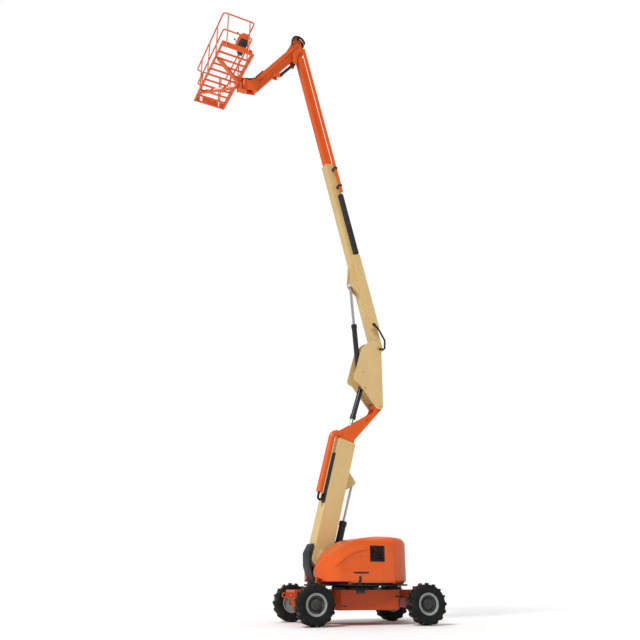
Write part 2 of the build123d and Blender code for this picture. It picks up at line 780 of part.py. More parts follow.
# Main boom: a box beam with a side tray for the hose track, and its orange fly.
main_axis = side_plane(main_pivot, main_angle)
with BuildPart() as main_base:
    with BuildSketch(main_axis):
        with Locations((main_length / 2 - 60, main_offset)):
            Rectangle(main_length + 120, main_depth)
    extrude(amount=main_width / 2, both=True)
    with BuildSketch(main_axis):
        Circle(80)
    extrude(amount=upright_inner - running_gap, both=True)
    with BuildSketch(main_axis):
        with Locations((main_length / 2, main_offset)):
            Rectangle(main_length + 200, main_depth - 2 * main_wall)
    extrude(amount=main_width / 2 - main_wall, both=True, mode=Mode.SUBTRACT)
    with BuildSketch(main_axis):
        with Locations((main_length - 60, main_offset)):
            Rectangle(120, main_depth - 1)
    extrude(amount=main_width / 2 - 1, both=True)
    with BuildSketch(main_axis):
        with Locations((main_length, main_offset)):
            Rectangle(400, fly_depth + 2 * pin_play)
    extrude(amount=fly_width / 2 + pin_play, both=True, mode=Mode.SUBTRACT)
    with BuildSketch(main_axis):
        Circle(40 + pin_play)
    extrude(amount=300, both=True, mode=Mode.SUBTRACT)
    for left in (main_lug_inner + 24, -main_lug_inner):
        with BuildSketch(side_plane(main_pivot, main_angle, left)):
            with BuildLine():
                Polyline((1500, -38), (1760, -225), (1842, -250), (1930, -210), (2420, -38), close=True)
            make_face()
        extrude(amount=24)
    with BuildSketch(side_plane(main_pivot, main_angle, 205)):
        with Locations((1560, 115)):
            Rectangle(2120, 230)
    extrude(amount=86)
save(main_base.part, "main_base")

with BuildPart() as main_hose_track:
    with BuildSketch(side_plane(main_pivot, main_angle, 203)):
        with Locations((3550, 148)):
            SlotOverall(1858, 134)
    extrude(amount=82.8)
    for along in (4700, 5250):
        with BuildSketch(side_plane(main_pivot, main_angle, 284)):
            with Locations((along, 155)):
                Rectangle(60, 100)
        extrude(amount=163.8)
        with BuildSketch(side_plane(main_pivot, main_angle, 277)):
            with Locations((along, 155)):
                Rectangle(100, 80)
        extrude(amount=70, mode=Mode.SUBTRACT)
save(main_hose_track.part, "main_hose_track")

foot_hose_side = 245
with BuildPart() as main_foot_hose:
    with BuildLine(side_plane(main_pivot, main_angle, foot_hose_side)) as foot_hose_path:
        FilletPolyline((600, 71), (420, 170), (120, 260), (-120, 180), (-90, 20), radius=80)
    with BuildSketch(Plane(origin=foot_hose_path.line @ 0, z_dir=foot_hose_path.line % 0)):
        Circle(24)
    sweep(path=foot_hose_path.line)
    with BuildSketch(side_plane(main_pivot, main_angle, foot_hose_side)):
        with Locations((600, 71)):
            Rectangle(60, 60)
    extrude(amount=foot_hose_side - 205.2)
save(main_foot_hose.part, "main_foot_hose")

fly_low = 4000
fly_high = tip_reach - 340
with BuildPart() as main_fly:
    with BuildSketch(main_axis):
        with Locations((fly_low / 2 + fly_high / 2, main_offset)):
            Rectangle(fly_high - fly_low, fly_depth)
    extrude(amount=fly_width / 2, both=True)
    with BuildSketch(main_axis):
        with Locations((fly_low + 60, main_offset)):
            Rectangle(120, main_depth - 2 * main_wall - 2 * pin_play)
    extrude(amount=main_width / 2 - main_wall - pin_play, both=True)
    with BuildSketch(main_axis):
        with Locations((tip_reach - 240, main_offset)):
            Rectangle(480, 130)
        with Locations((tip_reach, main_offset)):
            Circle(65)
    extrude(amount=fly_width / 2, both=True)
    with BuildSketch(main_axis):
        with Locations((fly_low / 2 + fly_high / 2, main_offset)):
            Rectangle(fly_high - fly_low + 1000, fly_depth - 16)
    extrude(amount=fly_width / 2 - 16, both=True, mode=Mode.SUBTRACT)
    with BuildSketch(main_axis):
        with Locations((tip_reach, main_offset)):
            Circle(35 + pin_play)
    extrude(amount=300, both=True, mode=Mode.SUBTRACT)
save(main_fly.part, "main_fly")

rail_end = tip_reach - 150
with BuildPart() as fly_hose_rail:
    with BuildSketch(side_plane(main_pivot, main_angle, 272)):
        with Locations((4500 / 2 + rail_end / 2, 155)):
            Rectangle(rail_end - 4500, 70)
    extrude(amount=60)
    with BuildSketch(side_plane(main_pivot, main_angle, 212.5)):
        with Locations((rail_end - 70, 137)):
            Rectangle(140, 30)
    extrude(amount=212.5 - fly_width / 2 - 0.2)
save(fly_hose_rail.part, "fly_hose_rail")

# Tip knuckle: plates that stay level and carry the jib's tube, links and cylinder.
knuckle_inner = fly_width / 2 + 6
knuckle_outer = knuckle_inner + knuckle_plate
link_inner = knuckle_outer + running_gap
link_outer = link_inner + link_plate
ear = shifted(jib_drop, jib_cylinder_drop)
ear_radius = 66
with BuildPart() as tip_knuckle:
    for left in (knuckle_outer, -knuckle_inner):
        with BuildSketch(side_plane(tip, 0, left)):
            with BuildLine():
                Polyline((-81, -104), (-121, -4), (-81, 200))
                ThreePointArc((-81, 200), (30, 305), (150, 235))
                Line((150, 235), (275, -40))
                ThreePointArc((275, -40), (292, -110), (262, -180))
                Polyline((262, -180), (185, -310), shifted(ear, (ear_radius, 0)))
                ThreePointArc(
                    shifted(ear, (ear_radius, 0)), shifted(ear, (0, -ear_radius)),
                    shifted(ear, (-ear_radius, 0)),
                )
                Polyline(shifted(ear, (-ear_radius, 0)), (56, -345), (10, -285), (-81, -104))
            make_face()
        extrude(amount=knuckle_plate)
    with BuildSketch(side_plane(tip, 0)):
        with BuildLine():
            ThreePointArc((-81, 200), (30, 305), (150, 235))
            Line((150, 235), (132, 226))
            ThreePointArc((132, 226), (30, 283), (-59, 196))
            Line((-59, 196), (-81, 200))
        make_face()
    extrude(amount=knuckle_inner + 1, both=True)
    for point, radius in ((tip, 35), (jib_root, 30), (jib_cyl_base, 25)):
        with BuildSketch(side_plane(point, 0)):
            Circle(radius)
        extrude(amount=knuckle_outer + 3, both=True)
    for left in (link_outer + 8, -knuckle_outer + 1):
        with BuildSketch(side_plane(link_root, 0, left)):
            Circle(25)
        extrude(amount=link_outer + 8 - knuckle_outer + 1)
save(tip_knuckle.part, "tip_knuckle")

# Hoses that arch over the tip, clamped to the knuckle's left plate.
with BuildPart() as tip_hoses:
    for left in (hose_lateral, hose_lateral + 2 * hose_radius + 4):
        with BuildLine(side_plane(tip, 0, left)) as hose_path:
            arch = ThreePointArc((-172, 130), (32, 334), (236, 130))
            Line(arch @ 1, (236, -60))
        with BuildSketch(Plane(origin=hose_path.line @ 0, z_dir=hose_path.line % 0)):
            Circle(hose_radius)
        sweep(path=hose_path.line)
    with BuildSketch(side_plane(tip, 0, hose_lateral + 3 * hose_radius)):
        with Locations((32, 302)):
            Rectangle(60, 90)
    extrude(amount=hose_lateral + 3 * hose_radius - knuckle_outer - seat_gap)
save(tip_hoses.part, "tip_hoses")

jib_axis = side_plane(jib_root, jib_angle)
with BuildPart() as jib_tube:
    with BuildSketch(jib_axis):
        with Locations((jib_length / 2, 0)):
            Rectangle(jib_length - 2 * jib_taper, jib_depth)
            SlotCenterToCenter(jib_length, jib_depth - 20)
    extrude(amount=jib_width / 2, both=True)
    with BuildSketch(jib_axis):
        with Locations((jib_length / 2, 0)):
            Rectangle(jib_length - 260, jib_depth - 16)
    extrude(amount=jib_width / 2 - 8, both=True, mode=Mode.SUBTRACT)
    for left in (jib_width / 2 + 16, -jib_width / 2 + 2):
        with BuildSketch(side_plane(jib_root, jib_angle, left)):
            with BuildLine():
                Polyline((940, 0), (1040, -165), (1100, -205), (1160, -165), (1300, 0), close=True)
            make_face()
        extrude(amount=18)
    with BuildSketch(jib_axis):
        Circle(30 + pin_play)
        with Locations((jib_length, 0)):
            Circle(30 + pin_play)
    extrude(amount=jib_width, both=True, mode=Mode.SUBTRACT)
save(jib_tube.part, "jib_tube")

with BuildPart() as jib_links:
    for left in (link_outer, -link_inner):
        with BuildSketch(side_plane(link_root, jib_angle, left)):
            with Locations((jib_length / 2, 0)):
                SlotCenterToCenter(jib_length, link_depth)
            Circle(25 + pin_play, mode=Mode.SUBTRACT)
            with Locations((jib_length, 0)):
                Circle(25 + pin_play, mode=Mode.SUBTRACT)
        extrude(amount=link_plate)
save(jib_links.part, "jib_links")

ram("jib_cylinder", jib_cyl_base, jib_eye, 705, 725, 42, 26, 25, 33, jib_width / 2 - 6)

# Platform: a level bracket with the rotator, and the platform that turns on it.
bracket_outer = knuckle_outer - 4
bracket_inner = bracket_outer - knuckle_plate
rotator_low = floor_height - rotator_drop
rotator_top = rotator_low + rotator_height
with BuildPart() as platform_bracket:
    for left in (bracket_outer, -bracket_inner):
        with BuildSketch(side_plane((0, 0), 0, left)):
            with BuildLine():
                Polyline(
                    shifted(jib_end, (-75, 20)),
                    shifted(jib_end, (-30, -75)),
                    (rotator_u - rotator_radius - 5, rotator_low + 10),
                    (rotator_u - 40, rotator_low + 10),
                    (rotator_u - 40, rotator_top - 10),
                    (rotator_u - rotator_radius - 20, rotator_top - 10),
                    shifted(link_end, (0, 60)),
                    shifted(link_end, (-70, 30)),
                    close=True,
                )
            make_face()
        extrude(amount=knuckle_plate)
    with BuildSketch(side_plane((rotator_u - 60, rotator_low + rotator_height / 2), 0)):
        Rectangle(40, rotator_height - 40)
    extrude(amount=bracket_outer, both=True)
    with BuildSketch(Plane(origin=(rotator_u, 0, rotator_low))):
        Circle(rotator_radius)
    extrude(amount=rotator_height)
    with BuildSketch(side_plane(jib_end, 0)):
        Circle(30)
    extrude(amount=bracket_outer + 3, both=True)
    for left in (link_outer + 8, -bracket_outer + 1):
        with BuildSketch(side_plane(link_end, 0, left)):
            Circle(25)
        extrude(amount=link_outer + 8 - bracket_outer + 1)
    with BuildSketch(Plane(origin=(rotator_u, 0, rotator_low - 10))):
        Circle(spindle_radius + pin_play)
    extrude(amount=rotator_height + 20, mode=Mode.SUBTRACT)
save(platform_bracket.part, "platform_bracket")

support_low = rotator_low - running_gap - support_plate
support_high = rotator_top + running_gap
support_half = 110
frame_low = floor_height - floor_depth
arm_depth = 60
arm_reach = platform_depth - 70
arm_spread = platform_width / 2 - 460
with BuildPart() as platform_support:
    for level in (support_low, support_high):
        with BuildSketch(Plane(origin=(rotator_u, 0, level))):
            Circle(rotator_radius)
            with Locations((platform_gap / 2, 0)):
                Rectangle(platform_gap - 2 * seat_gap, 2 * rotator_radius)
        extrude(amount=support_plate)
    with BuildSketch(Plane(origin=(rotator_u, 0, support_low - 5))):
        Circle(spindle_radius)
    extrude(amount=support_high - support_low + support_plate + 10)
    with BuildSketch(Plane(origin=(platform_rear - 23, 0, support_low))):
        Rectangle(46 - 2 * seat_gap, 2 * support_half)
    extrude(amount=support_high + support_plate - support_low)
    with BuildSketch(Plane(origin=(platform_rear, 0, frame_low - arm_depth - seat_gap))):
        with BuildLine():
            Polyline(
                (-30, support_half),
                (-30, -support_half),
                (arm_reach - 60, -arm_spread),
                (arm_reach, -arm_spread + 70),
                (60, -support_half + 60),
                (60, support_half - 60),
                (arm_reach, arm_spread - 70),
                (arm_reach - 60, arm_spread),
                close=True,
            )
        make_face()
    extrude(amount=arm_depth)
save(platform_support.part, "platform_support")

platform_mid = platform_rear + platform_depth / 2
with BuildPart() as platform_floor:
    with BuildSketch(Plane(origin=(platform_mid, 0, frame_low))):
        Rectangle(platform_depth, platform_width)
        Rectangle(platform_depth - 100, platform_width - 100, mode=Mode.SUBTRACT)
        with GridLocations(0, (platform_width - 100) / (floor_bars + 1), 1, floor_bars):
            Rectangle(platform_depth - 90, floor_bar)
    extrude(amount=floor_depth)
save(platform_floor.part, "platform_floor")

# Guard rails: the posts stand on the floor, the top rail on the posts and the others inside them.
rail_radius = rail_diameter / 2
post_radius = rail_radius - 2
rail_inset = rail_radius + 2
rail_u0 = platform_rear + rail_inset
rail_u1 = platform_rear + platform_depth - rail_inset
rail_y = platform_width / 2 - rail_inset
gate_low = rail_u0 + corner_post
gate_high = rail_u1 - corner_post
rail_top = floor_height + rail_height - rail_radius
mid_inset = rail_radius + post_radius + seat_gap
toe_inset = post_radius + seat_gap
with BuildPart() as platform_rails:
    for level, inset, end_gap in ((rail_top, 0, 10), (floor_height + mid_rail, mid_inset, -26)):
        with BuildLine(Plane.XY.offset(level)) as rail_path:
            FilletPolyline(
                (gate_high - end_gap, -rail_y + inset),
                (rail_u1 - inset, -rail_y + inset),
                (rail_u1 - inset, rail_y - inset),
                (rail_u0 + inset, rail_y - inset),
                (rail_u0 + inset, -rail_y + inset),
                (gate_low + 10, -rail_y + inset),
                radius=rail_bend - inset / 2,
            )
        with BuildSketch(Plane(origin=rail_path.line @ 0, z_dir=rail_path.line % 0)):
            Circle(rail_radius)
        sweep(path=rail_path.line)
    with BuildSketch(Plane.XY.offset(floor_height + seat_gap)):
        with Locations(
            (gate_high, -rail_y),
            (gate_low, -rail_y),
            (rail_u1, -post_at),
            (rail_u1, 0),
            (rail_u1, post_at),
            (rail_u0, -post_at),
            (rail_u0, 0),
            (rail_u0, post_at),
            (rail_u1 - corner_post, rail_y),
            (rail_u0 + corner_post, rail_y),
        ):
            Circle(post_radius)
    extrude(amount=rail_height - rail_diameter - 2 * seat_gap)
    with BuildSketch(Plane.XY.offset(floor_height + seat_gap)):
        with Locations((platform_mid, 0)):
            Rectangle(rail_u1 - rail_u0 - 2 * toe_inset, 2 * rail_y - 2 * toe_inset)
            Rectangle(
                rail_u1 - rail_u0 - 2 * toe_inset - 16,
                2 * rail_y - 2 * toe_inset - 16, mode=Mode.SUBTRACT,
            )
        with Locations((platform_mid, -rail_y)):
            Rectangle(gate_high - gate_low, 100, mode=Mode.SUBTRACT)
    extrude(amount=toe_board)
save(platform_rails.part, "platform_rails")

console_width = 440
console_at = 500
with BuildPart() as platform_console:
    with BuildSketch(
        side_plane((rail_u0 + rail_radius + seat_gap, floor_height), 0, console_at + console_width / 2),
    ):
        with BuildLine():
            Polyline((0, 700), (110, 720), (220, 980), (130, 1090), (0, 1090), close=True)
        make_face()
    extrude(amount=console_width)
save(platform_console.part, "platform_console")

gate_start = gate_high - rail_diameter - 6
gate_end = gate_low + 45
gate_foot = floor_height + toe_board + 40
with BuildPart() as platform_gate:
    with BuildLine(side_plane((0, 0), 0, -rail_y)) as gate_path:
        FilletPolyline(
            (gate_start, rail_top),
            (gate_end, rail_top),
            (gate_end, gate_foot),
            (gate_start, gate_foot),
            radius=60,
            close=True,
        )
    with BuildSketch(Plane(origin=gate_path.line @ 0, z_dir=gate_path.line % 0)):
        Circle(rail_radius)
    sweep(path=gate_path.line)
    for level in (gate_foot + 100, rail_top - 220):
        with BuildSketch(Plane(origin=(gate_high, -rail_y, level))):
            Circle(post_radius + 10)
            with Locations((-30, 0)):
                Rectangle(40, 16)
            Circle(post_radius + pin_play, mode=Mode.SUBTRACT)
        extrude(amount=50)
save(platform_gate.part, "platform_gate")
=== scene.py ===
import json
import bmesh
import bpy
from math import atan2, cos, degrees, pi, radians, sin
from mathutils import Matrix, Vector
from mathutils.bvhtree import BVHTree


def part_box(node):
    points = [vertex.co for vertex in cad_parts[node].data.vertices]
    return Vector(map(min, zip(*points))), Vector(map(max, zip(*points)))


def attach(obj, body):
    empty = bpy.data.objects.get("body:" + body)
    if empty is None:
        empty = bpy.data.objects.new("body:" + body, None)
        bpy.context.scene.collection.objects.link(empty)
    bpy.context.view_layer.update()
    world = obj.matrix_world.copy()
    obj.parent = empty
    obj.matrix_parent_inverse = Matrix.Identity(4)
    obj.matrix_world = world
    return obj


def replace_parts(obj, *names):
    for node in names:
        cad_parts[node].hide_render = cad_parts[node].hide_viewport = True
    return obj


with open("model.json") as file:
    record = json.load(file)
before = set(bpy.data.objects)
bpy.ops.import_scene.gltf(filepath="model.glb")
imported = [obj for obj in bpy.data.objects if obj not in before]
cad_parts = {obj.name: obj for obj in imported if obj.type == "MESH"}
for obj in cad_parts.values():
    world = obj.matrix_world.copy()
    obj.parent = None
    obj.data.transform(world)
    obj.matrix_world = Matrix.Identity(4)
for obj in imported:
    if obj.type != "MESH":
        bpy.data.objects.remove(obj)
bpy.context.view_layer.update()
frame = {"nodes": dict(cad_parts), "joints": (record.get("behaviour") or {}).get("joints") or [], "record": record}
nodes = frame["nodes"]
print("frame loaded:", len(nodes), "nodes")

swing = radians(11)  # the turntable is parked swung to the left
upper = Matrix.Rotation(swing, 4, "Z")  # from the turntable's own axes to the machine's


# camera, standing low at the machine's left
cameraSetup = {
    "place": (5.190, 15.721, 0.815),
    "heading": 18.27,  # degrees from straight across the machine
    "pan": -2.81,
    "tilt": 21.48,
    "lens": 37.84,
    "sensor": 36,
    "seesTo": 400,
}


def addCamera(setup):
    heading = radians(setup["heading"] + setup["pan"])
    tilt = radians(setup["tilt"])
    ahead = Vector((-sin(heading), -cos(heading), 0))
    look = ahead * cos(tilt) + Vector((0, 0, sin(tilt)))
    camera = bpy.data.objects.new("camera", bpy.data.cameras.new("camera"))
    camera.data.lens = setup["lens"]
    camera.data.sensor_width = setup["sensor"]
    camera.data.clip_end = setup["seesTo"]
    camera.location = setup["place"]
    camera.rotation_mode = "QUATERNION"
    camera.rotation_quaternion = look.to_track_quat("-Z", "Y")
    bpy.context.scene.collection.objects.link(camera)
    bpy.context.scene.camera = camera


addCamera(cameraSetup)
print("camera set")


# shader maths: a socket that can be added, subtracted and multiplied
class Signal:
    def __init__(self, tree, socket=None):
        self.tree = tree
        self.socket = socket

    def node(self, kind, settings=None, links=None, pick=0):
        made = self.tree.nodes.new("ShaderNode" + kind)
        for key, value in (settings or {}).items():
            setattr(made, key, value)
        for key, value in (links or {}).items():
            if isinstance(value, Signal):
                self.tree.links.new(value.socket, made.inputs[key])
            else:
                made.inputs[key].default_value = value
        return Signal(self.tree, made.outputs[pick])

    def maths(self, operation, other=0.0, flip=False):
        first, second = (other, self) if flip else (self, other)
        return self.node("Math", {"operation": operation}, {0: first, 1: second})

    def __add__(self, other):
        return self.maths("ADD", other)

    def __radd__(self, other):
        return self.maths("ADD", other)

    def __sub__(self, other):
        return self.maths("SUBTRACT", other)

    def __rsub__(self, other):
        return self.maths("SUBTRACT", other, flip=True)

    def __mul__(self, other):
        return self.maths("MULTIPLY", other)

    def __rmul__(self, other):
        return self.maths("MULTIPLY", other)

    def clamp(self):
        return self.node("Clamp", {}, {"Value": self})

    def between(self, low, high):  # 0 below low, 1 above high
        return self.node("MapRange", {"interpolation_type": "SMOOTHSTEP"},
                         {"Value": self, "From Min": low, "From Max": high})

    def mix(self, first, second):  # two colours by this mask, on the Mix node's colour sockets
        return self.node("Mix", {"data_type": "RGBA"}, {0: self, 6: first, 7: second}, pick=2)


def colour(red, green, blue):
    return (red, green, blue, 1.0)


def newMaterial(name, **fixed):
    material = bpy.data.materials.new(name)
    material.use_nodes = True
    tree = material.node_tree
    shader = tree.nodes["Principled BSDF"]
    for key, value in fixed.items():
        shader.inputs[key.replace("_", " ")].default_value = value
    return material, Signal(tree), shader


def feed(maker, shader, **signals):
    for key, value in signals.items():
        maker.tree.links.new(value.socket, shader.inputs[key.replace("_", " ")])


def noise(maker, place, scale, detail=3.0, rough=0.55, stretch=None):
    if stretch:
        place = maker.node("Mapping", {}, {"Vector": place, "Scale": stretch})
    return maker.node("TexNoise", {},
                      {"Vector": place, "Scale": scale, "Detail": detail, "Roughness": rough})


def height(maker, place):
    return maker.node("SeparateXYZ", {}, {"Vector": place}, pick="Z")


def bump(maker, relief, strength, distance):
    return maker.node("Bump", {}, {"Height": relief, "Strength": strength, "Distance": distance})


# gloss paint with faded patches, fine orange peel, runs of dirt, dust low down and small chips
paints = {
    "orange_paint": dict(main=colour(0.72, 0.098, 0.006), faded=colour(0.76, 0.122, 0.010),
                         dirt=colour(0.33, 0.050, 0.008), dust=colour(0.36, 0.20, 0.11),
                         chip=colour(0.10, 0.07, 0.05), rough=0.34, dustTop=0.25, coat=0.18),
    # a darker copy of the orange: painted shade for the chassis
    "shaded_orange_paint": dict(main=colour(0.50, 0.052, 0.003), faded=colour(0.55, 0.066, 0.005),
                          dirt=colour(0.25, 0.036, 0.006), dust=colour(0.30, 0.15, 0.08),
                          chip=colour(0.10, 0.07, 0.05), rough=0.38, dustTop=0.25, coat=0.08),
    "cream_paint": dict(main=colour(0.66, 0.465, 0.200), faded=colour(0.70, 0.51, 0.240),
                        dirt=colour(0.36, 0.22, 0.09), dust=colour(0.50, 0.38, 0.24),
                        chip=colour(0.22, 0.16, 0.10), rough=0.40, dustTop=0.30, coat=0.10),
    "black_paint": dict(main=colour(0.012, 0.013, 0.014), faded=colour(0.022, 0.023, 0.025),
                        dirt=colour(0.035, 0.03, 0.025), dust=colour(0.16, 0.13, 0.10),
                        chip=colour(0.11, 0.10, 0.09), rough=0.34, dustTop=0.55, coat=0.30),
    "rim_paint": dict(main=colour(0.20, 0.235, 0.235), faded=colour(0.26, 0.295, 0.29),
                      dirt=colour(0.16, 0.15, 0.13), dust=colour(0.42, 0.35, 0.27),
                      chip=colour(0.10, 0.09, 0.08), rough=0.42, dustTop=0.60, coat=0.10),
    # near black: the hub's dark paint, with the shade inside the wheel's dish painted in
    "hub_shade_paint": dict(main=colour(0.020, 0.023, 0.024), faded=colour(0.032, 0.034, 0.034),
                      dirt=colour(0.05, 0.045, 0.04), dust=colour(0.20, 0.16, 0.12),
                      chip=colour(0.10, 0.09, 0.08), rough=0.48, dustTop=0.50, coat=0.05),
}


def paint(name, look):
    material, maker, shader = newMaterial(name, IOR=1.45, Coat_Roughness=0.12, Specular_IOR_Level=0.4)
    place = maker.node("TexCoord", pick="Object")
    patches = noise(maker, place, scale=1.7, detail=4.0).between(0.36, 0.68)
    grime = noise(maker, place, scale=9.0, detail=6.0, rough=0.65).between(0.52, 0.80)
    runs = noise(maker, place, scale=5.0, detail=3.0, rough=0.5, stretch=(3.0, 3.0, 0.22))
    runs = runs.between(0.55, 0.78)
    low = 1 - height(maker, place).between(0.05, look["dustTop"] + 0.45)
    dusty = (low * noise(maker, place, scale=6.5, detail=5.0, rough=0.6).between(0.36, 0.78) * 0.45).clamp()
    chips = noise(maker, place, scale=46.0, detail=2.0, rough=0.4).between(0.735, 0.755) * patches
    tone = (patches * 0.6).mix(look["main"], look["faded"])
    tone = (grime * 0.16 + runs * 0.14).clamp().mix(tone, look["dirt"])
    tone = dusty.mix(tone, look["dust"])
    tone = chips.mix(tone, look["chip"])
    peel = noise(maker, place, scale=260.0, detail=2.0, rough=0.5)
    sheet = noise(maker, place, scale=3.2, detail=2.0, rough=0.5)
    relief = peel * 0.25 + sheet * 1.2 - chips * 0.6
    rough = look["rough"] + patches * 0.08 + grime * 0.16 + dusty * 0.35 + chips * 0.25
    coat = (look["coat"] - dusty * 0.3 - grime * 0.12).clamp()
    feed(maker, shader, Base_Color=tone, Roughness=rough.clamp(), Coat_Weight=coat,
         Normal=bump(maker, relief, strength=0.10, distance=0.004))
    return material


def rubber(name, base, worn, dust, dustTop):
    material, maker, shader = newMaterial(name, IOR=1.45, Specular_IOR_Level=0.22)
    place = maker.node("TexCoord", pick="Object")
    wear = noise(maker, place, scale=7.0, detail=5.0, rough=0.6).between(0.38, 0.72)
    specks = noise(maker, place, scale=90.0, detail=3.0, rough=0.6)
    low = 1 - height(maker, place).between(0.0, dustTop)
    tread = maker.node("Attribute", {"attribute_name": "tread"}, pick="Fac")
    cake = noise(maker, place, scale=13.0, detail=6.0, rough=0.65).between(0.40, 0.74)
    powder = (cake * (0.01 + low * 0.02 + tread * 0.55)).clamp()
    tone = wear.mix(base, worn)
    tone = (powder * 0.62).mix(tone, dust)
    feed(maker, shader, Base_Color=tone, Roughness=(0.62 + specks * 0.2 + powder * 0.15).clamp(),
         Normal=bump(maker, specks + wear * 0.5, strength=0.22, distance=0.003))
    return material


def mouldedPlastic(name, base, pale):
    material, maker, shader = newMaterial(name, IOR=1.46)
    place = maker.node("TexCoord", pick="Object")
    grain = noise(maker, place, scale=420.0, detail=2.0, rough=0.5)
    bloom = noise(maker, place, scale=5.0, detail=5.0, rough=0.6).between(0.40, 0.75)
    feed(maker, shader, Base_Color=(bloom * 0.7).mix(base, pale),
         Roughness=(0.46 + bloom * 0.18 + grain * 0.08).clamp(),
         Normal=bump(maker, grain, strength=0.18, distance=0.0012))
    return material


def chromedRod(name):
    material, maker, shader = newMaterial(name, Metallic=1.0)
    place = maker.node("TexCoord", pick="Object")
    film = noise(maker, place, scale=11.0, detail=4.0, rough=0.6).between(0.45, 0.8)
    rings = noise(maker, place, scale=30.0, detail=2.0, rough=0.5, stretch=(1.0, 1.0, 14.0))
    feed(maker, shader, Base_Color=film.mix(colour(0.76, 0.77, 0.78), colour(0.50, 0.48, 0.45)),
         Roughness=(0.09 + film * 0.16 + rings * 0.05).clamp(),
         Normal=bump(maker, rings, strength=0.03, distance=0.0006))
    return material


def wornFloor(name, look):
    material, maker, shader = newMaterial(name)
    place = maker.node("TexCoord", pick="Object")
    bare = noise(maker, place, scale=21.0, detail=6.0, rough=0.68).between(0.60, 0.70)
    scuff = noise(maker, place, scale=8.0, detail=5.0, rough=0.65).between(0.48, 0.80)
    tone = (scuff * 0.5).mix(look["main"], look["dirt"])
    tone = bare.mix(tone, colour(0.36, 0.34, 0.32))
    feed(maker, shader, Base_Color=tone, Metallic=bare * 0.8,
         Roughness=(0.42 + scuff * 0.25 - bare * 0.10).clamp(),
         Normal=bump(maker, noise(maker, place, scale=120.0) - bare * 0.6, strength=0.12, distance=0.001))
    return material


def castIron(name):
    material, maker, shader = newMaterial(name)
    place = maker.node("TexCoord", pick="Object")
    sand = noise(maker, place, scale=160.0, detail=4.0, rough=0.7)
    oil = noise(maker, place, scale=4.0, detail=5.0, rough=0.6).between(0.45, 0.7)
    feed(maker, shader, Base_Color=oil.mix(colour(0.09, 0.09, 0.088), colour(0.03, 0.027, 0.022)),
         Roughness=(0.62 - oil * 0.25 + sand * 0.1).clamp(),
         Normal=bump(maker, sand, strength=0.4, distance=0.002))
    return material


materials = {name: paint(name, look) for name, look in paints.items()}
materials["tyre_rubber"] = rubber(
    "tyre_rubber", base=colour(0.005, 0.006, 0.006), worn=colour(0.010, 0.011, 0.010),
    dust=colour(0.36, 0.29, 0.20), dustTop=0.95)
materials["hose_rubber"] = rubber(
    "hose_rubber", base=colour(0.012, 0.012, 0.013), worn=colour(0.022, 0.022, 0.023),
    dust=colour(0.12, 0.11, 0.09), dustTop=0.6)
materials["black_plastic"] = mouldedPlastic(
    "black_plastic", base=colour(0.014, 0.015, 0.017), pale=colour(0.04, 0.042, 0.045))
materials["rod_chrome"] = chromedRod("rod_chrome")
materials["floor_steel"] = wornFloor("floor_steel", paints["orange_paint"])
materials["engine_iron"] = castIron("engine_iron")
print("materials made:", len(materials))


# every solid takes its record's finish
deeper = {"chassis_frame": "shaded_orange_paint"}  # the chassis gets a darker copy of the orange, as painted shade
for row in frame["record"]["subparts"]:
    solid = nodes[row["node"]]
    solid.data.materials.clear()
    solid.data.materials.append(materials[deeper.get(row["node"], row["material_slot"])])
print("solids dressed")


# where things are: pivots and slides come from the joints, members run between them
pivots = {joint["name"]: Vector(joint["pos_m"]) for joint in frame["joints"] if joint.get("pos_m")}
slides = {joint["name"]: Vector(joint["axis"]) for joint in frame["joints"]}
left = upper.to_3x3() @ Vector((0, 1, 0))


def memberGrid(foot, ahead):
    # x along a member, y to its left, z across it
    along = ahead.normalized()
    grid = Matrix((along, left, along.cross(left))).transposed().to_4x4()
    grid.translation = foot
    return grid


def facing(point, outward, ahead=(0, 0, 1)):
    # z points outward from the point, x as near to ahead as it can
    out = Vector(outward).normalized()
    side = out.cross(Vector(ahead)).normalized()
    grid = Matrix((side.cross(out), side, out)).transposed().to_4x4()
    grid.translation = point
    return grid


def span(node, grid):
    # lowest and highest corner of a node, measured along a member
    back = grid.inverted()
    corners = [back @ vertex.co for vertex in nodes[node].data.vertices]
    return [Vector([pick(corner[axis] for corner in corners) for axis in range(3)]) for pick in (min, max)]


deckGrid = upper.copy()
towerGrid = memberGrid(pivots["tower_lift"], slides["tower_extend"])
mainGrid = memberGrid(pivots["main_lift"], slides["main_extend"])
jibGrid = memberGrid(pivots["jib_lift"], pivots["platform_level"] - pivots["jib_lift"])


# parts are drawn about their own z axis and then put in place
edgeLook = {"ease": 0.6, "crisp": radians(38)}  # angles above which an edge is eased, or shaded sharp
weld = 1e-5  # points of a turned part that lie this close are one
boltLook = {"washer": 1.35, "washerTall": 0.22, "headTall": 0.8, "headMid": 0.6,
            "ease": 0.1}  # times the bolt's size


def lathe(profile, steps):
    part = bmesh.new()
    points = [part.verts.new((radius, 0, rise)) for radius, rise in profile]
    line = [part.edges.new(pair) for pair in zip(points, points[1:])]
    bmesh.ops.spin(part, geom=points + line, cent=(0, 0, 0), axis=(0, 0, 1), angle=2 * pi, steps=steps,
                   use_merge=True)
    bmesh.ops.remove_doubles(part, verts=part.verts, dist=weld)
    return part


def eased(part, width, segments=2):
    bmesh.ops.recalc_face_normals(part, faces=part.faces)
    sharp = [edge for edge in part.edges if edge.is_manifold and edge.calc_face_angle() > edgeLook["ease"]]
    bmesh.ops.bevel(part, geom=sharp, offset=width, affect="EDGES", segments=segments, profile=0.5,
                    material=-1)
    return part


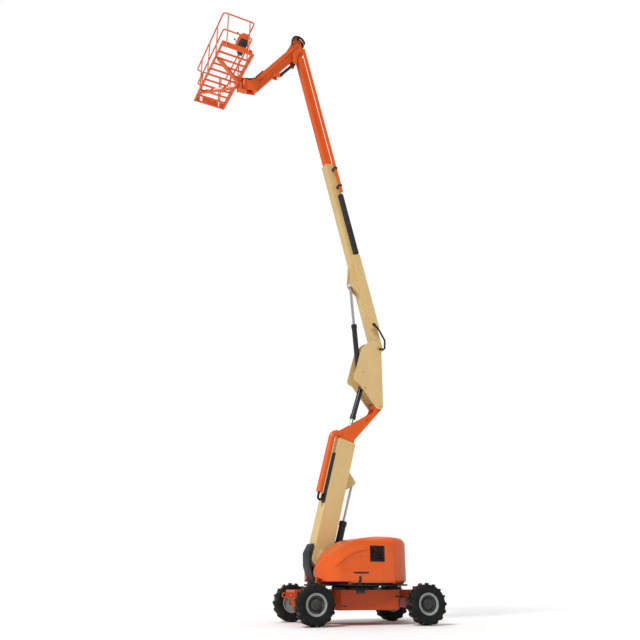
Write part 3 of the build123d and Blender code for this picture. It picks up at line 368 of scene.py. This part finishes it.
def plate(outline, thick, corner, ease):
    # an outline in x and y with rounded corners, pushed up along z
    part = bmesh.new()
    part.faces.new([part.verts.new((x, y, 0)) for x, y in outline])
    if corner:
        bmesh.ops.bevel(part, geom=part.verts[:], offset=corner, affect="VERTICES", segments=4, profile=0.5,
                        material=-1)
    pushed = bmesh.ops.extrude_face_region(part, geom=part.faces[:])["geom"]
    bmesh.ops.translate(part, verts=[item for item in pushed if isinstance(item, bmesh.types.BMVert)],
                        vec=(0, 0, thick))
    return eased(part, ease)


def oblong(length, width):
    x, y = length / 2, width / 2
    return [(-x, -y), (x, -y), (x, y), (-x, y)]


def bolt(size):
    # a washer with a hexagon head on it
    washer, tall = size * boltLook["washer"], size * boltLook["washerTall"]
    part = lathe([(0, 0), (washer, 0), (washer, tall), (0, tall)], steps=20)
    head = bmesh.ops.create_cone(part, cap_ends=True, segments=6, radius1=size, radius2=size,
                                 depth=size * boltLook["headTall"])
    bmesh.ops.translate(part, verts=head["verts"], vec=(0, 0, size * boltLook["headMid"]))
    return eased(part, size * boltLook["ease"], segments=1)


def put(shape, part, *places):
    stamp = bpy.data.meshes.new("stamp")
    part.to_mesh(stamp)
    part.free()
    for place in places:
        copy = stamp.copy()
        copy.transform(place)
        shape.from_mesh(copy)
        bpy.data.meshes.remove(copy)
    bpy.data.meshes.remove(stamp)


def finishPiece(name, shape, body, slot, look=None, sheetMetal=False):
    bmesh.ops.recalc_face_normals(shape, faces=shape.faces)
    mesh = bpy.data.meshes.new(name)
    shape.to_mesh(mesh)
    shape.free()
    mesh.shade_smooth()
    mesh.set_sharp_from_angle(angle=edgeLook["crisp"])
    mesh.materials.append(materials[look or slot])
    piece = bpy.data.objects.new(name, mesh)
    bpy.context.scene.collection.objects.link(piece)
    if sheetMetal:  # large flat faces keep their own shading beside rounded ones
        piece.modifiers.new("flatSheets", "WEIGHTED_NORMAL").keep_sharp = True
    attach(piece, body)
    return piece


# wheels: a smooth carcass with slanted lugs over its shoulders, a pale rim ring and a hub in it painted near
# black, the hub's dark paint with the shade inside the wheel's dish painted in
wheelLook = {
    "steps": 64,
    "rimSteps": 48,
    "carcass": [(0.212, 0.146), (0.229, 0.147), (0.242, 0.158), (0.262, 0.166), (0.300, 0.1715),
                (0.318, 0.1722), (0.322, 0.1742), (0.334, 0.1742), (0.338, 0.1718), (0.362, 0.167),
                (0.382, 0.156), (0.391, 0.136), (0.395, 0.07)],  # radius, distance from the middle
    "treadFrom": 0.385, "treadOver": 0.035,  # dust cakes on the lugs from this radius on
    "lugs": 32,
    "lugTop": [(-0.026, 0.4276), (0.06, 0.4276), (0.125, 0.4262), (0.157, 0.4165), (0.1716, 0.392),
               (0.1724, 0.352)],  # distance from the middle, radius
    "lugFoot": [(-0.030, 0.386), (0.06, 0.386), (0.112, 0.384), (0.138, 0.377), (0.154, 0.367),
                (0.160, 0.345)],
    "lugWidth": 0.044,
    "lugSlant": 0.024,
    "lugEase": 0.005,
    "rim": [(0.150, 0.074), (0.160, 0.094), (0.172, 0.128), (0.184, 0.144), (0.203, 0.150), (0.212, 0.157),
            (0.222, 0.1585), (0.228, 0.1535), (0.226, 0.1475), (0.211, 0.146), (0.206, 0.10), (0.194, 0.05),
            (0.194, -0.05), (0.206, -0.10), (0.211, -0.146), (0.226, -0.1475), (0.228, -0.1535),
            (0.222, -0.1585), (0.208, -0.1575), (0.200, -0.146), (0.190, -0.108), (0.070, -0.104),
            (0.070, -0.09), (0.150, 0.074)],
    "hub": [(0.178, 0.139), (0.174, 0.139), (0.166, 0.122), (0.152, 0.074), (0.122, 0.071), (0.116, 0.076),
            (0.108, 0.112), (0.098, 0.120), (0.058, 0.122), (0.052, 0.130), (0.040, 0.133), (0, 0.134)],
    "nuts": 10,
    "nutRing": 0.136,
    "nutSeat": 0.071,
    "nutSize": 0.011,
}


def addLug(look):
    stations = len(look["lugTop"]) - 1
    lug = bmesh.new()
    bmesh.ops.create_grid(lug, x_segments=1, y_segments=stations, size=0.5)

    def settle(verts, line):
        for vert in verts:
            step = round((vert.co.y + 0.5) * stations)
            across, radius = line[step]
            around = (vert.co.x * look["lugWidth"] + look["lugSlant"] * (2 * step / stations - 1)) / radius
            vert.co = (radius * cos(around), radius * sin(around), across)

    pushed = bmesh.ops.extrude_face_region(lug, geom=lug.faces[:])["geom"]
    raised = [item for item in pushed if isinstance(item, bmesh.types.BMVert)]
    settle([vert for vert in lug.verts if vert not in set(raised)], look["lugFoot"])
    settle(raised, look["lugTop"])
    return eased(lug, look["lugEase"])


def addWheel(corner, side, look):
    low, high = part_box("tyre_" + corner)
    place = facing((low + high) / 2, (0, side, 0))
    body = "wheel_" + corner

    tyre = bmesh.new()
    half = look["carcass"]
    ring = half + [(radius, -across) for radius, across in reversed(half)] + half[:1]
    put(tyre, lathe(ring, look["steps"]), place)
    turns = [Matrix.Rotation(2 * pi * step / look["lugs"], 4, "Z") for step in range(look["lugs"])]
    hands = (Matrix(), Matrix.Rotation(pi, 4, "X"))  # lugs lie on the two halves of the tread by turns
    put(tyre, addLug(look), *[place @ turn @ hands[step % 2] for step, turn in enumerate(turns)])
    piece = finishPiece("treadedTyre." + corner, tyre, body, "tyre_rubber")
    tread = piece.data.attributes.new("tread", "FLOAT", "POINT")
    back = place.inverted()
    for spot, vertex in zip(tread.data, piece.data.vertices):
        out = (back @ vertex.co).xy.length - look["treadFrom"]
        spot.value = min(1.0, max(0.0, out / look["treadOver"]))
    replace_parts(piece, "tyre_" + corner)

    rim = bmesh.new()
    put(rim, lathe(look["rim"], look["rimSteps"]), place)
    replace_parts(finishPiece("rimRing." + corner, rim, body, "rim_paint"), "rim_" + corner)

    hub = bmesh.new()
    put(hub, lathe(look["hub"], look["rimSteps"]), place)
    seat = Matrix.Translation((look["nutRing"], 0, look["nutSeat"]))
    spots = [Matrix.Rotation(2 * pi * step / look["nuts"], 4, "Z") @ seat for step in range(look["nuts"])]
    put(hub, bolt(look["nutSize"]), *[place @ spot for spot in spots])
    # the hub and its nuts are painted near black, carrying painted shade of the wheel's dish
    finishPiece("wheelHub." + corner, hub, body, "black_paint", "hub_shade_paint")


for corner, side in (("front_left", 1), ("front_right", -1), ("rear_left", 1), ("rear_right", -1)):
    addWheel(corner, side, wheelLook)
print("wheels modelled")


# hoods and their turntable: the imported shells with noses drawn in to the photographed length,
# blunt at the side and swept back towards the tower
noseLook = {"from": 0.60, "to": 1.604, "left": 0.76, "right": 0.31, "sweep": 0.17, "sweepFrom": 0.64,
            "sweepOver": 0.32, "weld": 2e-5}


def noseFit(spot, look):
    reach = look["left"] if spot.y > 0 else look["right"]
    along = max(0.0, spot.x - look["from"]) / (look["to"] - look["from"])
    swept = min(1.0, max(0.0, (look["sweepFrom"] - abs(spot.y)) / look["sweepOver"]))
    return min(spot.x, look["from"]) + along * reach * (1 - look["sweep"] * swept)


def refit(node, name, body, slot, above, beyond):
    # a merged copy of a solid whose front part takes the shorter nose
    shape = bmesh.new()
    shape.from_mesh(nodes[node].data)
    bmesh.ops.remove_doubles(shape, verts=shape.verts, dist=noseLook["weld"])
    back = deckGrid.inverted()
    for vert in shape.verts:
        spot = back @ vert.co
        if spot.z > above and abs(spot.y) > beyond:
            spot.x = noseFit(spot, noseLook)
            vert.co = deckGrid @ spot
    piece = finishPiece(name, shape, body, slot, sheetMetal=True)
    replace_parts(piece, node)
    return piece


for hand in ("left", "right"):
    refit("hood_" + hand, "hoodShell." + hand, "hood_" + hand, "orange_paint", above=0.0, beyond=0.0)
deckBody = refit("turntable_deck", "turntableBody", "turntable", "orange_paint", above=0.86, beyond=0.30)

# the deck's rim is painted black as painted shade in the gap over the chassis, and the cheeks that hold the tower
# are cream as it is
deckLook = {"rim": 0.845, "cheekLow": 1.15, "cheekFrom": 0.55, "cheekSide": (0.17, 0.26)}
for finish in ("black_paint", "cream_paint"):
    deckBody.data.materials.append(materials[finish])
back = deckGrid.inverted()
for face in deckBody.data.polygons:
    spot = back @ face.center
    # below this height the deck is painted black: painted shade between turntable and chassis
    if spot.z < deckLook["rim"]:
        face.material_index = 1
    elif spot.z > deckLook["cheekLow"] and spot.x > deckLook["cheekFrom"]:
        if deckLook["cheekSide"][0] < abs(spot.y) < deckLook["cheekSide"][1]:
            face.material_index = 2
print("hoods refitted")


# hood furniture: a black pull in its slot, and a strap latch and its grip under it
hoodLook = {
    "face": 1.1,  # how far out the hood's side stands
    "pull": {"at": (0.470, 1.055), "sunk": 0.0075, "size": (0.385, 0.030), "thick": 0.011, "corner": 0.0128,
             "ease": 0.003},
    "ridge": {"share": 0.45, "wide": 0.012, "rise": 0.006, "corner": 0.005, "ease": 0.002},
    "latch": {"at": (0.494, 0.862), "sunk": 0.028, "size": (0.105, 0.060), "thick": 0.012, "corner": 0.012,
              "ease": 0.003, "lean": 38},
    "knob": ((0, 0.012), (0.020, 0.012), (0.020, 0.020), (0.014, 0.024), (0, 0.024)),
    "grip": {"at": (0.494, 0.940), "sunk": 0.004, "size": (0.090, 0.060), "thick": 0.018, "corner": 0.012,
             "ease": 0.004},
}


def addHoodFurniture(hand, side, look):
    shape = bmesh.new()
    outward = left * side
    ahead = deckGrid.to_3x3() @ Vector((1, 0, 0))
    pull, ridge, latch, grip = (look[name] for name in ("pull", "ridge", "latch", "grip"))

    def seat(item):
        along, rise = item["at"]
        return deckGrid @ Vector((along, look["face"] * side - side * item["sunk"], rise))

    def pad(item):
        return plate(oblong(*item["size"]), item["thick"], item["corner"], item["ease"])

    place = facing(seat(pull), outward, ahead)
    put(shape, pad(pull), place)
    put(shape, plate(oblong(pull["size"][0] * ridge["share"], ridge["wide"]), pull["thick"] + ridge["rise"],
                     ridge["corner"], ridge["ease"]), place)
    lean = radians(latch["lean"])
    tilted = facing(seat(latch), outward * cos(lean) - Vector((0, 0, sin(lean))))
    put(shape, pad(latch), tilted)
    put(shape, lathe(look["knob"], steps=24), tilted)
    put(shape, pad(grip), facing(seat(grip), outward))
    finishPiece("hoodFurniture." + hand, shape, "hood_" + hand, "black_plastic")


for hand, side in (("left", 1), ("right", -1)):
    addHoodFurniture(hand, side, hoodLook)


# hood crease: a soft raised shoulder along an arc, laid on the hood's side
creaseLook = {
    "mid": (0.231, 0.390), "radius": 1.1465, "from": 39.6, "sweep": 49.4, "steps": 56, "fade": 5.0,
    "rayFrom": 1.4, "sunk": 0.001,
    "profile": ((-0.016, -0.005), (0.0, 0.022), (0.016, 0.025), (0.060, 0.014), (0.130, -0.003)),
}


def addCrease(hand, side, look):
    hood = bmesh.new()
    hood.from_mesh(bpy.data.objects["hoodShell." + hand].data)
    skin = BVHTree.FromBMesh(hood)
    shape = bmesh.new()
    middle = Vector((look["mid"][0], 0, look["mid"][1]))
    points = [shape.verts.new(middle + Vector((look["radius"] + out, rise, 0)))
              for out, rise in look["profile"]]
    line = [shape.edges.new(pair) for pair in zip(points, points[1:])]
    bmesh.ops.rotate(shape, verts=points, cent=middle,
                     matrix=Matrix.Rotation(-radians(look["from"]), 3, "Y"))
    bmesh.ops.spin(shape, geom=points + line, cent=middle, axis=(0, -1, 0), angle=radians(look["sweep"]),
                   steps=look["steps"])
    for vert in shape.verts[:]:
        arm = vert.co - middle
        turn = degrees(atan2(arm.z, arm.x)) - look["from"]
        fade = min(1.0, turn / look["fade"], (look["sweep"] - turn) / look["fade"])
        ahead = max(0.0, vert.co.x - noseLook["from"])
        along = vert.co.x - ahead * (1 - noseLook[hand] / noseLook["left"])
        start = deckGrid @ Vector((along, side * look["rayFrom"], vert.co.z))
        spot = skin.ray_cast(start, -left * side)[0]
        if spot:
            vert.co = spot + left * side * (vert.co.y * fade - look["sunk"])
        else:
            shape.verts.remove(vert)
    hood.free()
    finishPiece("hoodCrease." + hand, shape, "hood_" + hand, "orange_paint")


for hand, side in (("left", 1), ("right", -1)):
    addCrease(hand, side, creaseLook)
print("hoods fitted out")


# cylinders: a gland nut on the barrel's mouth, two ports and a hard line between them
ramLook = {
    "tower": {"bore": 0.030, "port": 0.20},
    "level": {"bore": 0.036, "port": 0.16, "gland": 0.004},
    "main": {"bore": 0.036, "port": 0.18},
    "jib": {"bore": 0.026, "port": 0.13, "radius": 0.052},
}
ramParts = {
    "wall": 0.010, "play": 0.0012, "gland": 0.016, "lip": 0.006, "lipTall": 0.75,
    "ring": ((0.78, 0.0), (0.80, 0.3), (0.74, 0.9)),  # shares of the barrel's radius and the gland's height
    "endPort": 0.13, "portSize": (0.046, 0.036), "portTall": 0.020, "portSunk": 0.006, "corner": 0.006,
    "ease": 0.003, "bolt": 0.012,
    "pipeOff": 0.004, "pipe": [(0, 0.018), (0.011, 0.018), (0.011, 0.040), (0.007, 0.046)],
}


def addRamFittings(name, look, parts):
    grid = memberGrid(pivots[name + "_barrel_pivot"], slides[name + "_rod_slide"])
    high = span(name + "_cylinder_barrel", grid)[1]
    mouth = high.x
    wide = look.get("radius", high.y) - parts["wall"]
    bore = look["bore"] + parts["play"]
    gland = look.get("gland", parts["gland"])
    shape = bmesh.new()
    ring = [(wide * out, mouth + gland * rise) for out, rise in parts["ring"]]
    lip = [(bore + parts["lip"], mouth + gland), (bore, mouth + gland * parts["lipTall"])]
    axis = grid @ facing(Vector((0, 0, 0)), (1, 0, 0))
    put(shape, lathe([(bore, mouth)] + ring + lip + [(bore, mouth)], steps=36), axis)
    ports = (look["port"], mouth - parts["endPort"])
    for along in ports:
        seat = grid @ facing(Vector((along, wide - parts["portSunk"], 0)), (0, 1, 0), (1, 0, 0))
        block = plate(oblong(*parts["portSize"]), parts["portTall"], parts["corner"], parts["ease"])
        put(shape, block, seat)
        put(shape, bolt(parts["bolt"]), seat @ Matrix.Translation((0, 0, parts["portTall"])))
    run = ports[1] - ports[0]
    half = parts["pipe"]
    pipe = half + [(radius, run - along) for radius, along in reversed(half)]
    put(shape, lathe(pipe, steps=16),
        grid @ facing(Vector((ports[0], wide + parts["pipeOff"], 0)), (1, 0, 0)))
    finishPiece("ramFittings." + name, shape, name + "_barrel", "black_paint")


for name, look in ramLook.items():
    addRamFittings(name, look, ramParts)
print("cylinders plumbed")


# pins: a turned cap on each end, its facets turned by lean
capProfile = ((0, 0), (0.96, 0), (0.96, 0.003), (0.80, 0.006), (0.30, 0.006), (0.24, 0.002),
              (0, 0.002))  # share of the pin's radius, and rise
pinLook = {
    "upright": {"finish": "cream_paint", "half": 0.204, "lean": 90,
                "at": {"upright_level": 0.040, "main_lift": 0.040, "level_barrel_pivot": 0.032,
                       "main_barrel_pivot": 0.036}},
    "turntable": {"finish": "orange_paint", "half": 0.232, "lean": 30,
                  "at": {"tower_lift": 0.045, "tower_barrel_pivot": 0.040}},
    "tip_knuckle": {"finish": "orange_paint", "half": 0.121, "lean": 60,
                    "at": {"tip_level": 0.035, "jib_lift": 0.030, "jib_barrel_pivot": 0.025}},
    "platform_bracket": {"finish": "orange_paint", "half": 0.117, "lean": 0,
                         "at": {"platform_level": 0.030}},
}


def addPinCaps(body, look):
    shape = bmesh.new()
    lean = radians(look["lean"])
    for joint, radius in look["at"].items():
        for side in (1, -1):
            end = pivots[joint] + left * side * look["half"]
            place = facing(end, left * side, (cos(lean), 0, sin(lean)))
            put(shape, lathe([(radius * out, rise) for out, rise in capProfile], steps=28), place)
    finishPiece("pinCaps." + body, shape, body, look["finish"])


for body, look in pinLook.items():
    addPinCaps(body, look)
print("pins capped")


# beam mouths: rows of wear pad bolts round each sliding beam's open end
mouthLook = {
    "tower_base": {"grid": towerGrid, "finish": "cream_paint", "wide": 0.18, "deep": 0.225, "mid": 0.0,
                   "rows": (2.58, 2.66), "sideRow": (-0.15, -0.05, 0.05, 0.15),
                   "topRow": (-0.10, 0.0, 0.10), "size": 0.012},
    "main_base": {"grid": mainGrid, "finish": "cream_paint", "wide": 0.12, "deep": 0.13, "mid": 0.09,
                  "rows": (5.36, 5.42), "sideRow": (-0.08, 0.0), "topRow": (-0.06, 0.06), "size": 0.010},
}


def addMouthBolts(body, look):
    shape = bmesh.new()
    places = []
    for along in look["rows"]:
        for side in (1, -1):
            for across in look["sideRow"]:
                spot = Vector((along, side * look["wide"], look["mid"] + across))
                places.append(facing(spot, (0, side, 0), (1, 0, 0)))
            for across in look["topRow"]:
                spot = Vector((along, across, look["mid"] + side * look["deep"]))
                places.append(facing(spot, (0, 0, side), (1, 0, 0)))
    put(shape, bolt(look["size"]), *[look["grid"] @ place for place in places])
    finishPiece("padBolts." + body, shape, body, look["finish"])


for body, look in mouthLook.items():
    addMouthBolts(body, look)
print("beam mouths bolted")


# cable carrier: overlapping link plates along both runs of the main boom's track
carrierLook = {"pitch": 0.072, "link": (0.084, 0.036), "thick": 0.003, "corner": 0.014, "ease": 0.0008,
               "mid": (3.55, 0.148), "reach": 0.862, "loop": 0.047, "face": 0.203,
               "lifts": (0.0012, 0.0004)}  # every other link lies a little deeper


def addCarrier(look):
    shape = bmesh.new()
    places = []
    count = int(2 * look["reach"] / look["pitch"])
    for step in range(count + 1):
        along = look["mid"][0] - look["reach"] + step * look["pitch"]
        for across in (look["loop"], -look["loop"]):
            spot = Vector((along, look["face"] + look["lifts"][step % 2], look["mid"][1] + across))
            places.append(mainGrid @ facing(spot, (0, 1, 0), (1, 0, 0)))
    put(shape, plate(oblong(*look["link"]), look["thick"], look["corner"], look["ease"]), *places)
    finishPiece("carrierLinks", shape, "main_base", "black_plastic")


addCarrier(carrierLook)
print("carrier linked")


# platform: floor grating, control panel and the cap over the console
floorLow, floorHigh = span("platform_floor", deckGrid)
consoleLow, consoleHigh = span("platform_console", deckGrid)
floorLook = {"edge": 0.05, "endDrop": 0.001, "bars": 9, "bar": 0.042, "barTall": 0.9, "corner": 0.004,
             "ease": 0.003, "pitch": 0.090, "wire": 0.0024}
panelLook = {
    "back": 0.045, "down": 0.055, "slope": (0.110, 0.090), "size": (0.118, 0.40), "thick": 0.012,
    "corner": 0.012, "ease": 0.002,
    "leverRow": 0.015, "levers": (-0.13, 0.13),
    "lever": [(0, 0), (0.034, 0), (0.034, 0.006), (0.024, 0.016), (0.012, 0.022), (0.0085, 0.030),
              (0.0085, 0.075), (0.019, 0.085), (0.021, 0.120), (0.015, 0.130), (0, 0.132)],
    "switchRow": -0.038, "switches": 7, "switchPitch": 0.048,
    "switch": [(0, 0), (0.013, 0), (0.013, 0.004), (0.005, 0.006), (0.004, 0.022), (0, 0.024)],
    "stop": [(0, 0), (0.030, 0), (0.030, 0.006), (0.014, 0.008), (0.014, 0.020), (0.026, 0.024),
             (0.026, 0.034), (0.016, 0.040), (0, 0.041)],
    "cap": [(-0.002, -0.20), (0.186, -0.20), (0.226, -0.112), (0.134, 0.006), (-0.002, 0.006)],
    "capOver": 0.006, "capCorner": 0.012, "capEase": 0.003,
}


def addFloor(look):
    shape = bmesh.new()
    size = floorHigh - floorLow
    mid = (floorLow + floorHigh) / 2
    lift = deckGrid @ Matrix.Translation((mid.x, mid.y, floorLow.z))
    edge, corner, ease = look["edge"], look["corner"], look["ease"]
    for side in (1, -1):
        put(shape, plate(oblong(size.x, edge), size.z, corner, ease),
            lift @ Matrix.Translation((0, side * (size.y - edge) / 2, 0)))
        put(shape, plate(oblong(edge, size.y - edge), size.z - look["endDrop"], corner, ease),
            lift @ Matrix.Translation((side * (size.x - edge) / 2, 0, 0)))
    long, wide = size.x - edge, size.y - 2 * edge
    pitch = wide / (look["bars"] + 1)
    lines = [(step + 1) * pitch - wide / 2 for step in range(look["bars"])]
    bars = [lift @ Matrix.Translation((0, across, 0)) for across in lines]
    put(shape, plate(oblong(long, look["bar"]), size.z * look["barTall"], corner, ease), *bars)
    wire = look["wire"]
    rows = int(long / look["pitch"])
    rod = [(0, -wide / 2), (wire, -wide / 2), (wire, wide / 2), (0, wide / 2)]
    spots = [Vector(((step + 0.5) * long / rows - long / 2, 0, size.z - wire)) for step in range(rows)]
    put(shape, lathe(rod, steps=6), *[lift @ facing(spot, (0, 1, 0)) for spot in spots])
    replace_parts(finishPiece("platformGrid", shape, "platform", "floor_steel"), "platform_floor")


def addControls(look):
    level = deckGrid.to_3x3()
    low, high = consoleLow, consoleHigh
    mid = (low.y + high.y) / 2
    panelAt = deckGrid @ Vector((high.x - look["back"], mid, high.z - look["down"]))
    run, rise = look["slope"]
    place = facing(panelAt, level @ Vector((run, 0, rise)), level @ Vector((-rise, 0, run)))
    thick = look["thick"]
    shape = bmesh.new()
    put(shape, plate(oblong(*look["size"]), thick, look["corner"], look["ease"]), place)
    put(shape, lathe(look["lever"], steps=20),
        *[place @ Matrix.Translation((look["leverRow"], y, thick)) for y in look["levers"]])
    row = [(step - (look["switches"] - 1) / 2) * look["switchPitch"] for step in range(look["switches"])]
    put(shape, lathe(look["switch"], steps=14),
        *[place @ Matrix.Translation((look["switchRow"], y, thick)) for y in row])
    finishPiece("controlPanel", shape, "platform", "black_plastic")

    stop = bmesh.new()
    put(stop, lathe(look["stop"], steps=24), place @ Matrix.Translation((look["leverRow"], 0, thick)))
    finishPiece("stopButton", stop, "platform", "orange_paint")

    # an orange cap shields the console's upper half
    cap = bmesh.new()
    outline = [(low.x + x, high.z + z) for x, z in look["cap"]]
    over = look["capOver"]
    side = facing(Vector((0, high.y + over, 0)), (0, -1, 0), (1, 0, 0))
    put(cap, plate(outline, high.y - low.y + 2 * over, look["capCorner"], look["capEase"]), deckGrid @ side)
    finishPiece("consoleCap", cap, "platform", "orange_paint")


addFloor(floorLook)
addControls(panelLook)
print("platform fitted out")


# the gate's own toe plate, on two hangers under its frame
gateLook = {"rise": 0.014, "tall": 0.140, "thick": 0.006, "corner": 0.010, "ease": 0.002, "inset": 0.015,
            "frontRoom": 0.10, "hanger": 0.04, "hangerCorner": 0.006, "hangerAt": 0.34, "reach": 0.03,
            "overlap": 0.04}


def addGateToe(look):
    low, high = span("platform_gate", deckGrid)
    shape = bmesh.new()
    tall, thick, overlap = look["tall"], look["thick"], look["overlap"]
    long = high.x - low.x - look["frontRoom"] - 2 * look["inset"]
    midX = low.x + look["inset"] + long / 2
    midY = (low.y + high.y) / 2
    middle = Vector((midX, midY - thick / 2, floorHigh.z + look["rise"] + tall / 2))
    base = deckGrid @ facing(middle, (0, 1, 0), (1, 0, 0))
    put(shape, plate(oblong(long, tall), thick, look["corner"], look["ease"]), base)
    drop = low.z - floorHigh.z - look["rise"] - tall + look["reach"]
    lower = -tall / 2 - drop / 2 + overlap / 2
    put(shape, plate(oblong(look["hanger"], drop + overlap), thick, look["hangerCorner"], look["ease"]),
        *[base @ Matrix.Translation((side * long * look["hangerAt"], lower, 0)) for side in (1, -1)])
    finishPiece("gateToe", shape, "gate", "orange_paint")


addGateToe(gateLook)


# dark plates on the chassis side, with a screw at each end: black sheets painted as the shade of the chassis's
# pockets
pocketShadeLook = {
    "face": 0.7802, "thick": 0.004, "corner": 0.006, "ease": 0.001, "screw": 0.006, "screwIn": 0.014,
    "at": (((-0.750, 0.576), (0.200, 0.040)), ((0.146, 0.679), (0.200, 0.090)),
           ((0.528, 0.385), (0.138, 0.028))),
}


def addPocketShade(look):
    shape = bmesh.new()
    for side in (1, -1):
        for (along, rise), size in look["at"]:
            place = facing(Vector((along, side * look["face"], rise)), (0, side, 0), (1, 0, 0))
            put(shape, plate(oblong(*size), look["thick"], look["corner"], look["ease"]), place)
            out = size[0] / 2 - look["screwIn"]
            put(shape, bolt(look["screw"]),
                *[place @ Matrix.Translation((end * out, 0, look["thick"])) for end in (1, -1)])
    finishPiece("pocketShadePlates", shape, "chassis", "black_paint")


addPocketShade(pocketShadeLook)


# the tower's heel, a cream shoe under its pivot
heelLook = {
    "half": 0.176, "corner": 0.02, "ease": 0.004,
    "outline": ((-0.145, -0.2235), (-0.145, 0.16), (-0.240, 0.10), (-0.240, -0.12), (-0.190, -0.190)),
}


def addHeel(look):
    shape = bmesh.new()
    side = facing(Vector((0, look["half"], 0)), (0, -1, 0), (1, 0, 0))
    put(shape, plate(look["outline"], 2 * look["half"], look["corner"], look["ease"]), towerGrid @ side)
    finishPiece("towerHeel", shape, "tower_base", "cream_paint")


addHeel(heelLook)


# a bent black guard that hugs the tower's foot
guardLook = {
    "half": 0.17, "corner": 0.0, "ease": 0.004,
    "outline": ((1.075, 0.832), (1.115, 0.832), (1.255, 1.19), (1.262, 1.48), (1.150, 1.68), (1.135, 1.655),
                (1.225, 1.47), (1.218, 1.20)),
}


def addGuard(look):
    shape = bmesh.new()
    side = facing(Vector((0, look["half"], 0)), (0, -1, 0), (1, 0, 0))
    put(shape, plate(look["outline"], 2 * look["half"], look["corner"], look["ease"]), deckGrid @ side)
    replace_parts(finishPiece("footGuard", shape, "turntable", "black_plastic"), "foot_guard")


addGuard(guardLook)


# black sleeves round the hoses, along the jib's links and over the platform's bracket
sleeveLook = {"bore": 0.028, "mouth": 0.86, "taper": 0.008, "around": 20, "pair": (-0.05, 0.05),
              "along": (1.66, 2.01), "lift": 0.072,
              "mid": (0.383, 0.856), "radius": 0.60, "from": 226.6, "sweep": 36.4, "steps": 14}


def addSleeves(look):
    bore, taper = look["bore"], look["taper"]
    mouth = bore * look["mouth"]
    start, end = look["along"]
    long = end - start
    linkGrid = memberGrid(pivots["jib_link_pivot"], jibGrid.to_3x3() @ Vector((1, 0, 0)))
    rod = [(0, 0), (mouth, 0), (bore, taper), (bore, long - taper), (mouth, long), (0, long)]
    shape = bmesh.new()
    put(shape, lathe(rod, look["around"]),
        *[linkGrid @ facing(Vector((start, side, look["lift"])), (1, 0, 0)) for side in look["pair"]])
    finishPiece("linkSleeves", shape, "jib_links", "hose_rubber")

    arch = bmesh.new()
    ring = bmesh.ops.create_circle(arch, cap_ends=True, segments=look["around"], radius=bore)["verts"]
    bmesh.ops.translate(arch, verts=ring, vec=(look["radius"], 0, 0))
    bmesh.ops.rotate(arch, verts=ring, cent=(0, 0, 0),
                     matrix=Matrix.Rotation(-radians(look["from"]), 3, "Y"))
    bmesh.ops.spin(arch, geom=arch.faces[:], cent=(0, 0, 0), axis=(0, -1, 0), angle=radians(look["sweep"]),
                   steps=look["steps"])
    level = memberGrid(pivots["platform_level"], upper.to_3x3() @ Vector((1, 0, 0)))
    shape = bmesh.new()
    midX, midZ = look["mid"]
    put(shape, arch, *[level @ Matrix.Translation((midX, side, midZ)) for side in look["pair"]])
    finishPiece("bracketSleeves", shape, "platform_bracket", "hose_rubber")


addSleeves(sleeveLook)


# moulded covers over the tip: a saddle on its head, and a sleeve on the hoses that arch beside it
saddleLook = {
    "mid": (0.032, 0.130), "steps": 28, "ease": 0.008,
    "hoseSaddle": {"radius": (0.177, 0.217), "sides": (-0.117, 0.117), "from": 55, "sweep": 130},
    "hoseSleeve": {"radius": (0.186, 0.2195), "sides": (0.150, 0.212), "from": -8, "sweep": 172},
}


def addSaddle(name, look):
    band = look[name]
    shape = bmesh.new()
    inner, outer = band["radius"]
    right, far = band["sides"]
    section = [shape.verts.new(corner) for corner in
               ((inner, right, 0), (outer, right, 0), (outer, far, 0), (inner, far, 0))]
    shape.faces.new(section)
    bmesh.ops.rotate(shape, verts=section, cent=(0, 0, 0),
                     matrix=Matrix.Rotation(-radians(band["from"]), 3, "Y"))
    bmesh.ops.spin(shape, geom=shape.faces[:], cent=(0, 0, 0), axis=(0, -1, 0),
                   angle=radians(band["sweep"]), steps=look["steps"])
    eased(shape, look["ease"])
    tip = memberGrid(pivots["tip_level"], upper.to_3x3() @ Vector((1, 0, 0)))
    shape.transform(tip @ Matrix.Translation((look["mid"][0], 0, look["mid"][1])))
    finishPiece(name, shape, "tip_knuckle", "black_plastic")


for name in ("hoseSaddle", "hoseSleeve"):
    addSaddle(name, saddleLook)
print("chassis, heel and tip trimmed")


# floor and light
studio = {
    "floor": 90, "floorTone": colour(0.98, 0.98, 0.98), "floorRough": 0.85,
    "skyTone": colour(1.0, 1.0, 1.0), "sky": 0.46, "backdrop": 1.0,
    "lamps": {
        "keyLight": {"place": (16, 14, 22), "strength": 2.3, "softness": 14},
        "backLight": {"place": (-4, -16, 18), "strength": 0.35, "softness": 40},
    },
}


def addStage(look):
    mesh = bpy.data.meshes.new("floor")
    shape = bmesh.new()
    bmesh.ops.create_grid(shape, x_segments=2, y_segments=2, size=look["floor"])
    shape.to_mesh(mesh)
    shape.free()
    floor = bpy.data.objects.new("floor", mesh)
    bpy.context.scene.collection.objects.link(floor)
    material, _, shader = newMaterial("floor", Roughness=look["floorRough"])
    shader.inputs["Base Color"].default_value = look["floorTone"]
    mesh.materials.append(material)
    world = bpy.data.worlds.new("studio")
    bpy.context.scene.world = world
    world.use_nodes = True
    sky = world.node_tree.nodes["Background"]
    sky.inputs["Color"].default_value = look["skyTone"]
    seen = Signal(world.node_tree).node("LightPath", pick="Is Camera Ray")  # a white backdrop, a dimmer sky
    strength = look["sky"] + seen * (look["backdrop"] - look["sky"])
    world.node_tree.links.new(strength.socket, sky.inputs["Strength"])
    for name, setup in look["lamps"].items():  # wide soft suns, so that the floor is lit evenly
        lamp = bpy.data.objects.new(name, bpy.data.lights.new(name, "SUN"))
        lamp.data.energy = setup["strength"]
        lamp.data.angle = radians(setup["softness"])
        lamp.location = setup["place"]
        lamp.rotation_euler = (-Vector(setup["place"])).to_track_quat("-Z", "Y").to_euler()
        bpy.context.scene.collection.objects.link(lamp)
    bpy.context.scene.view_settings.view_transform = "Standard"


addStage(studio)
print("stage lit")
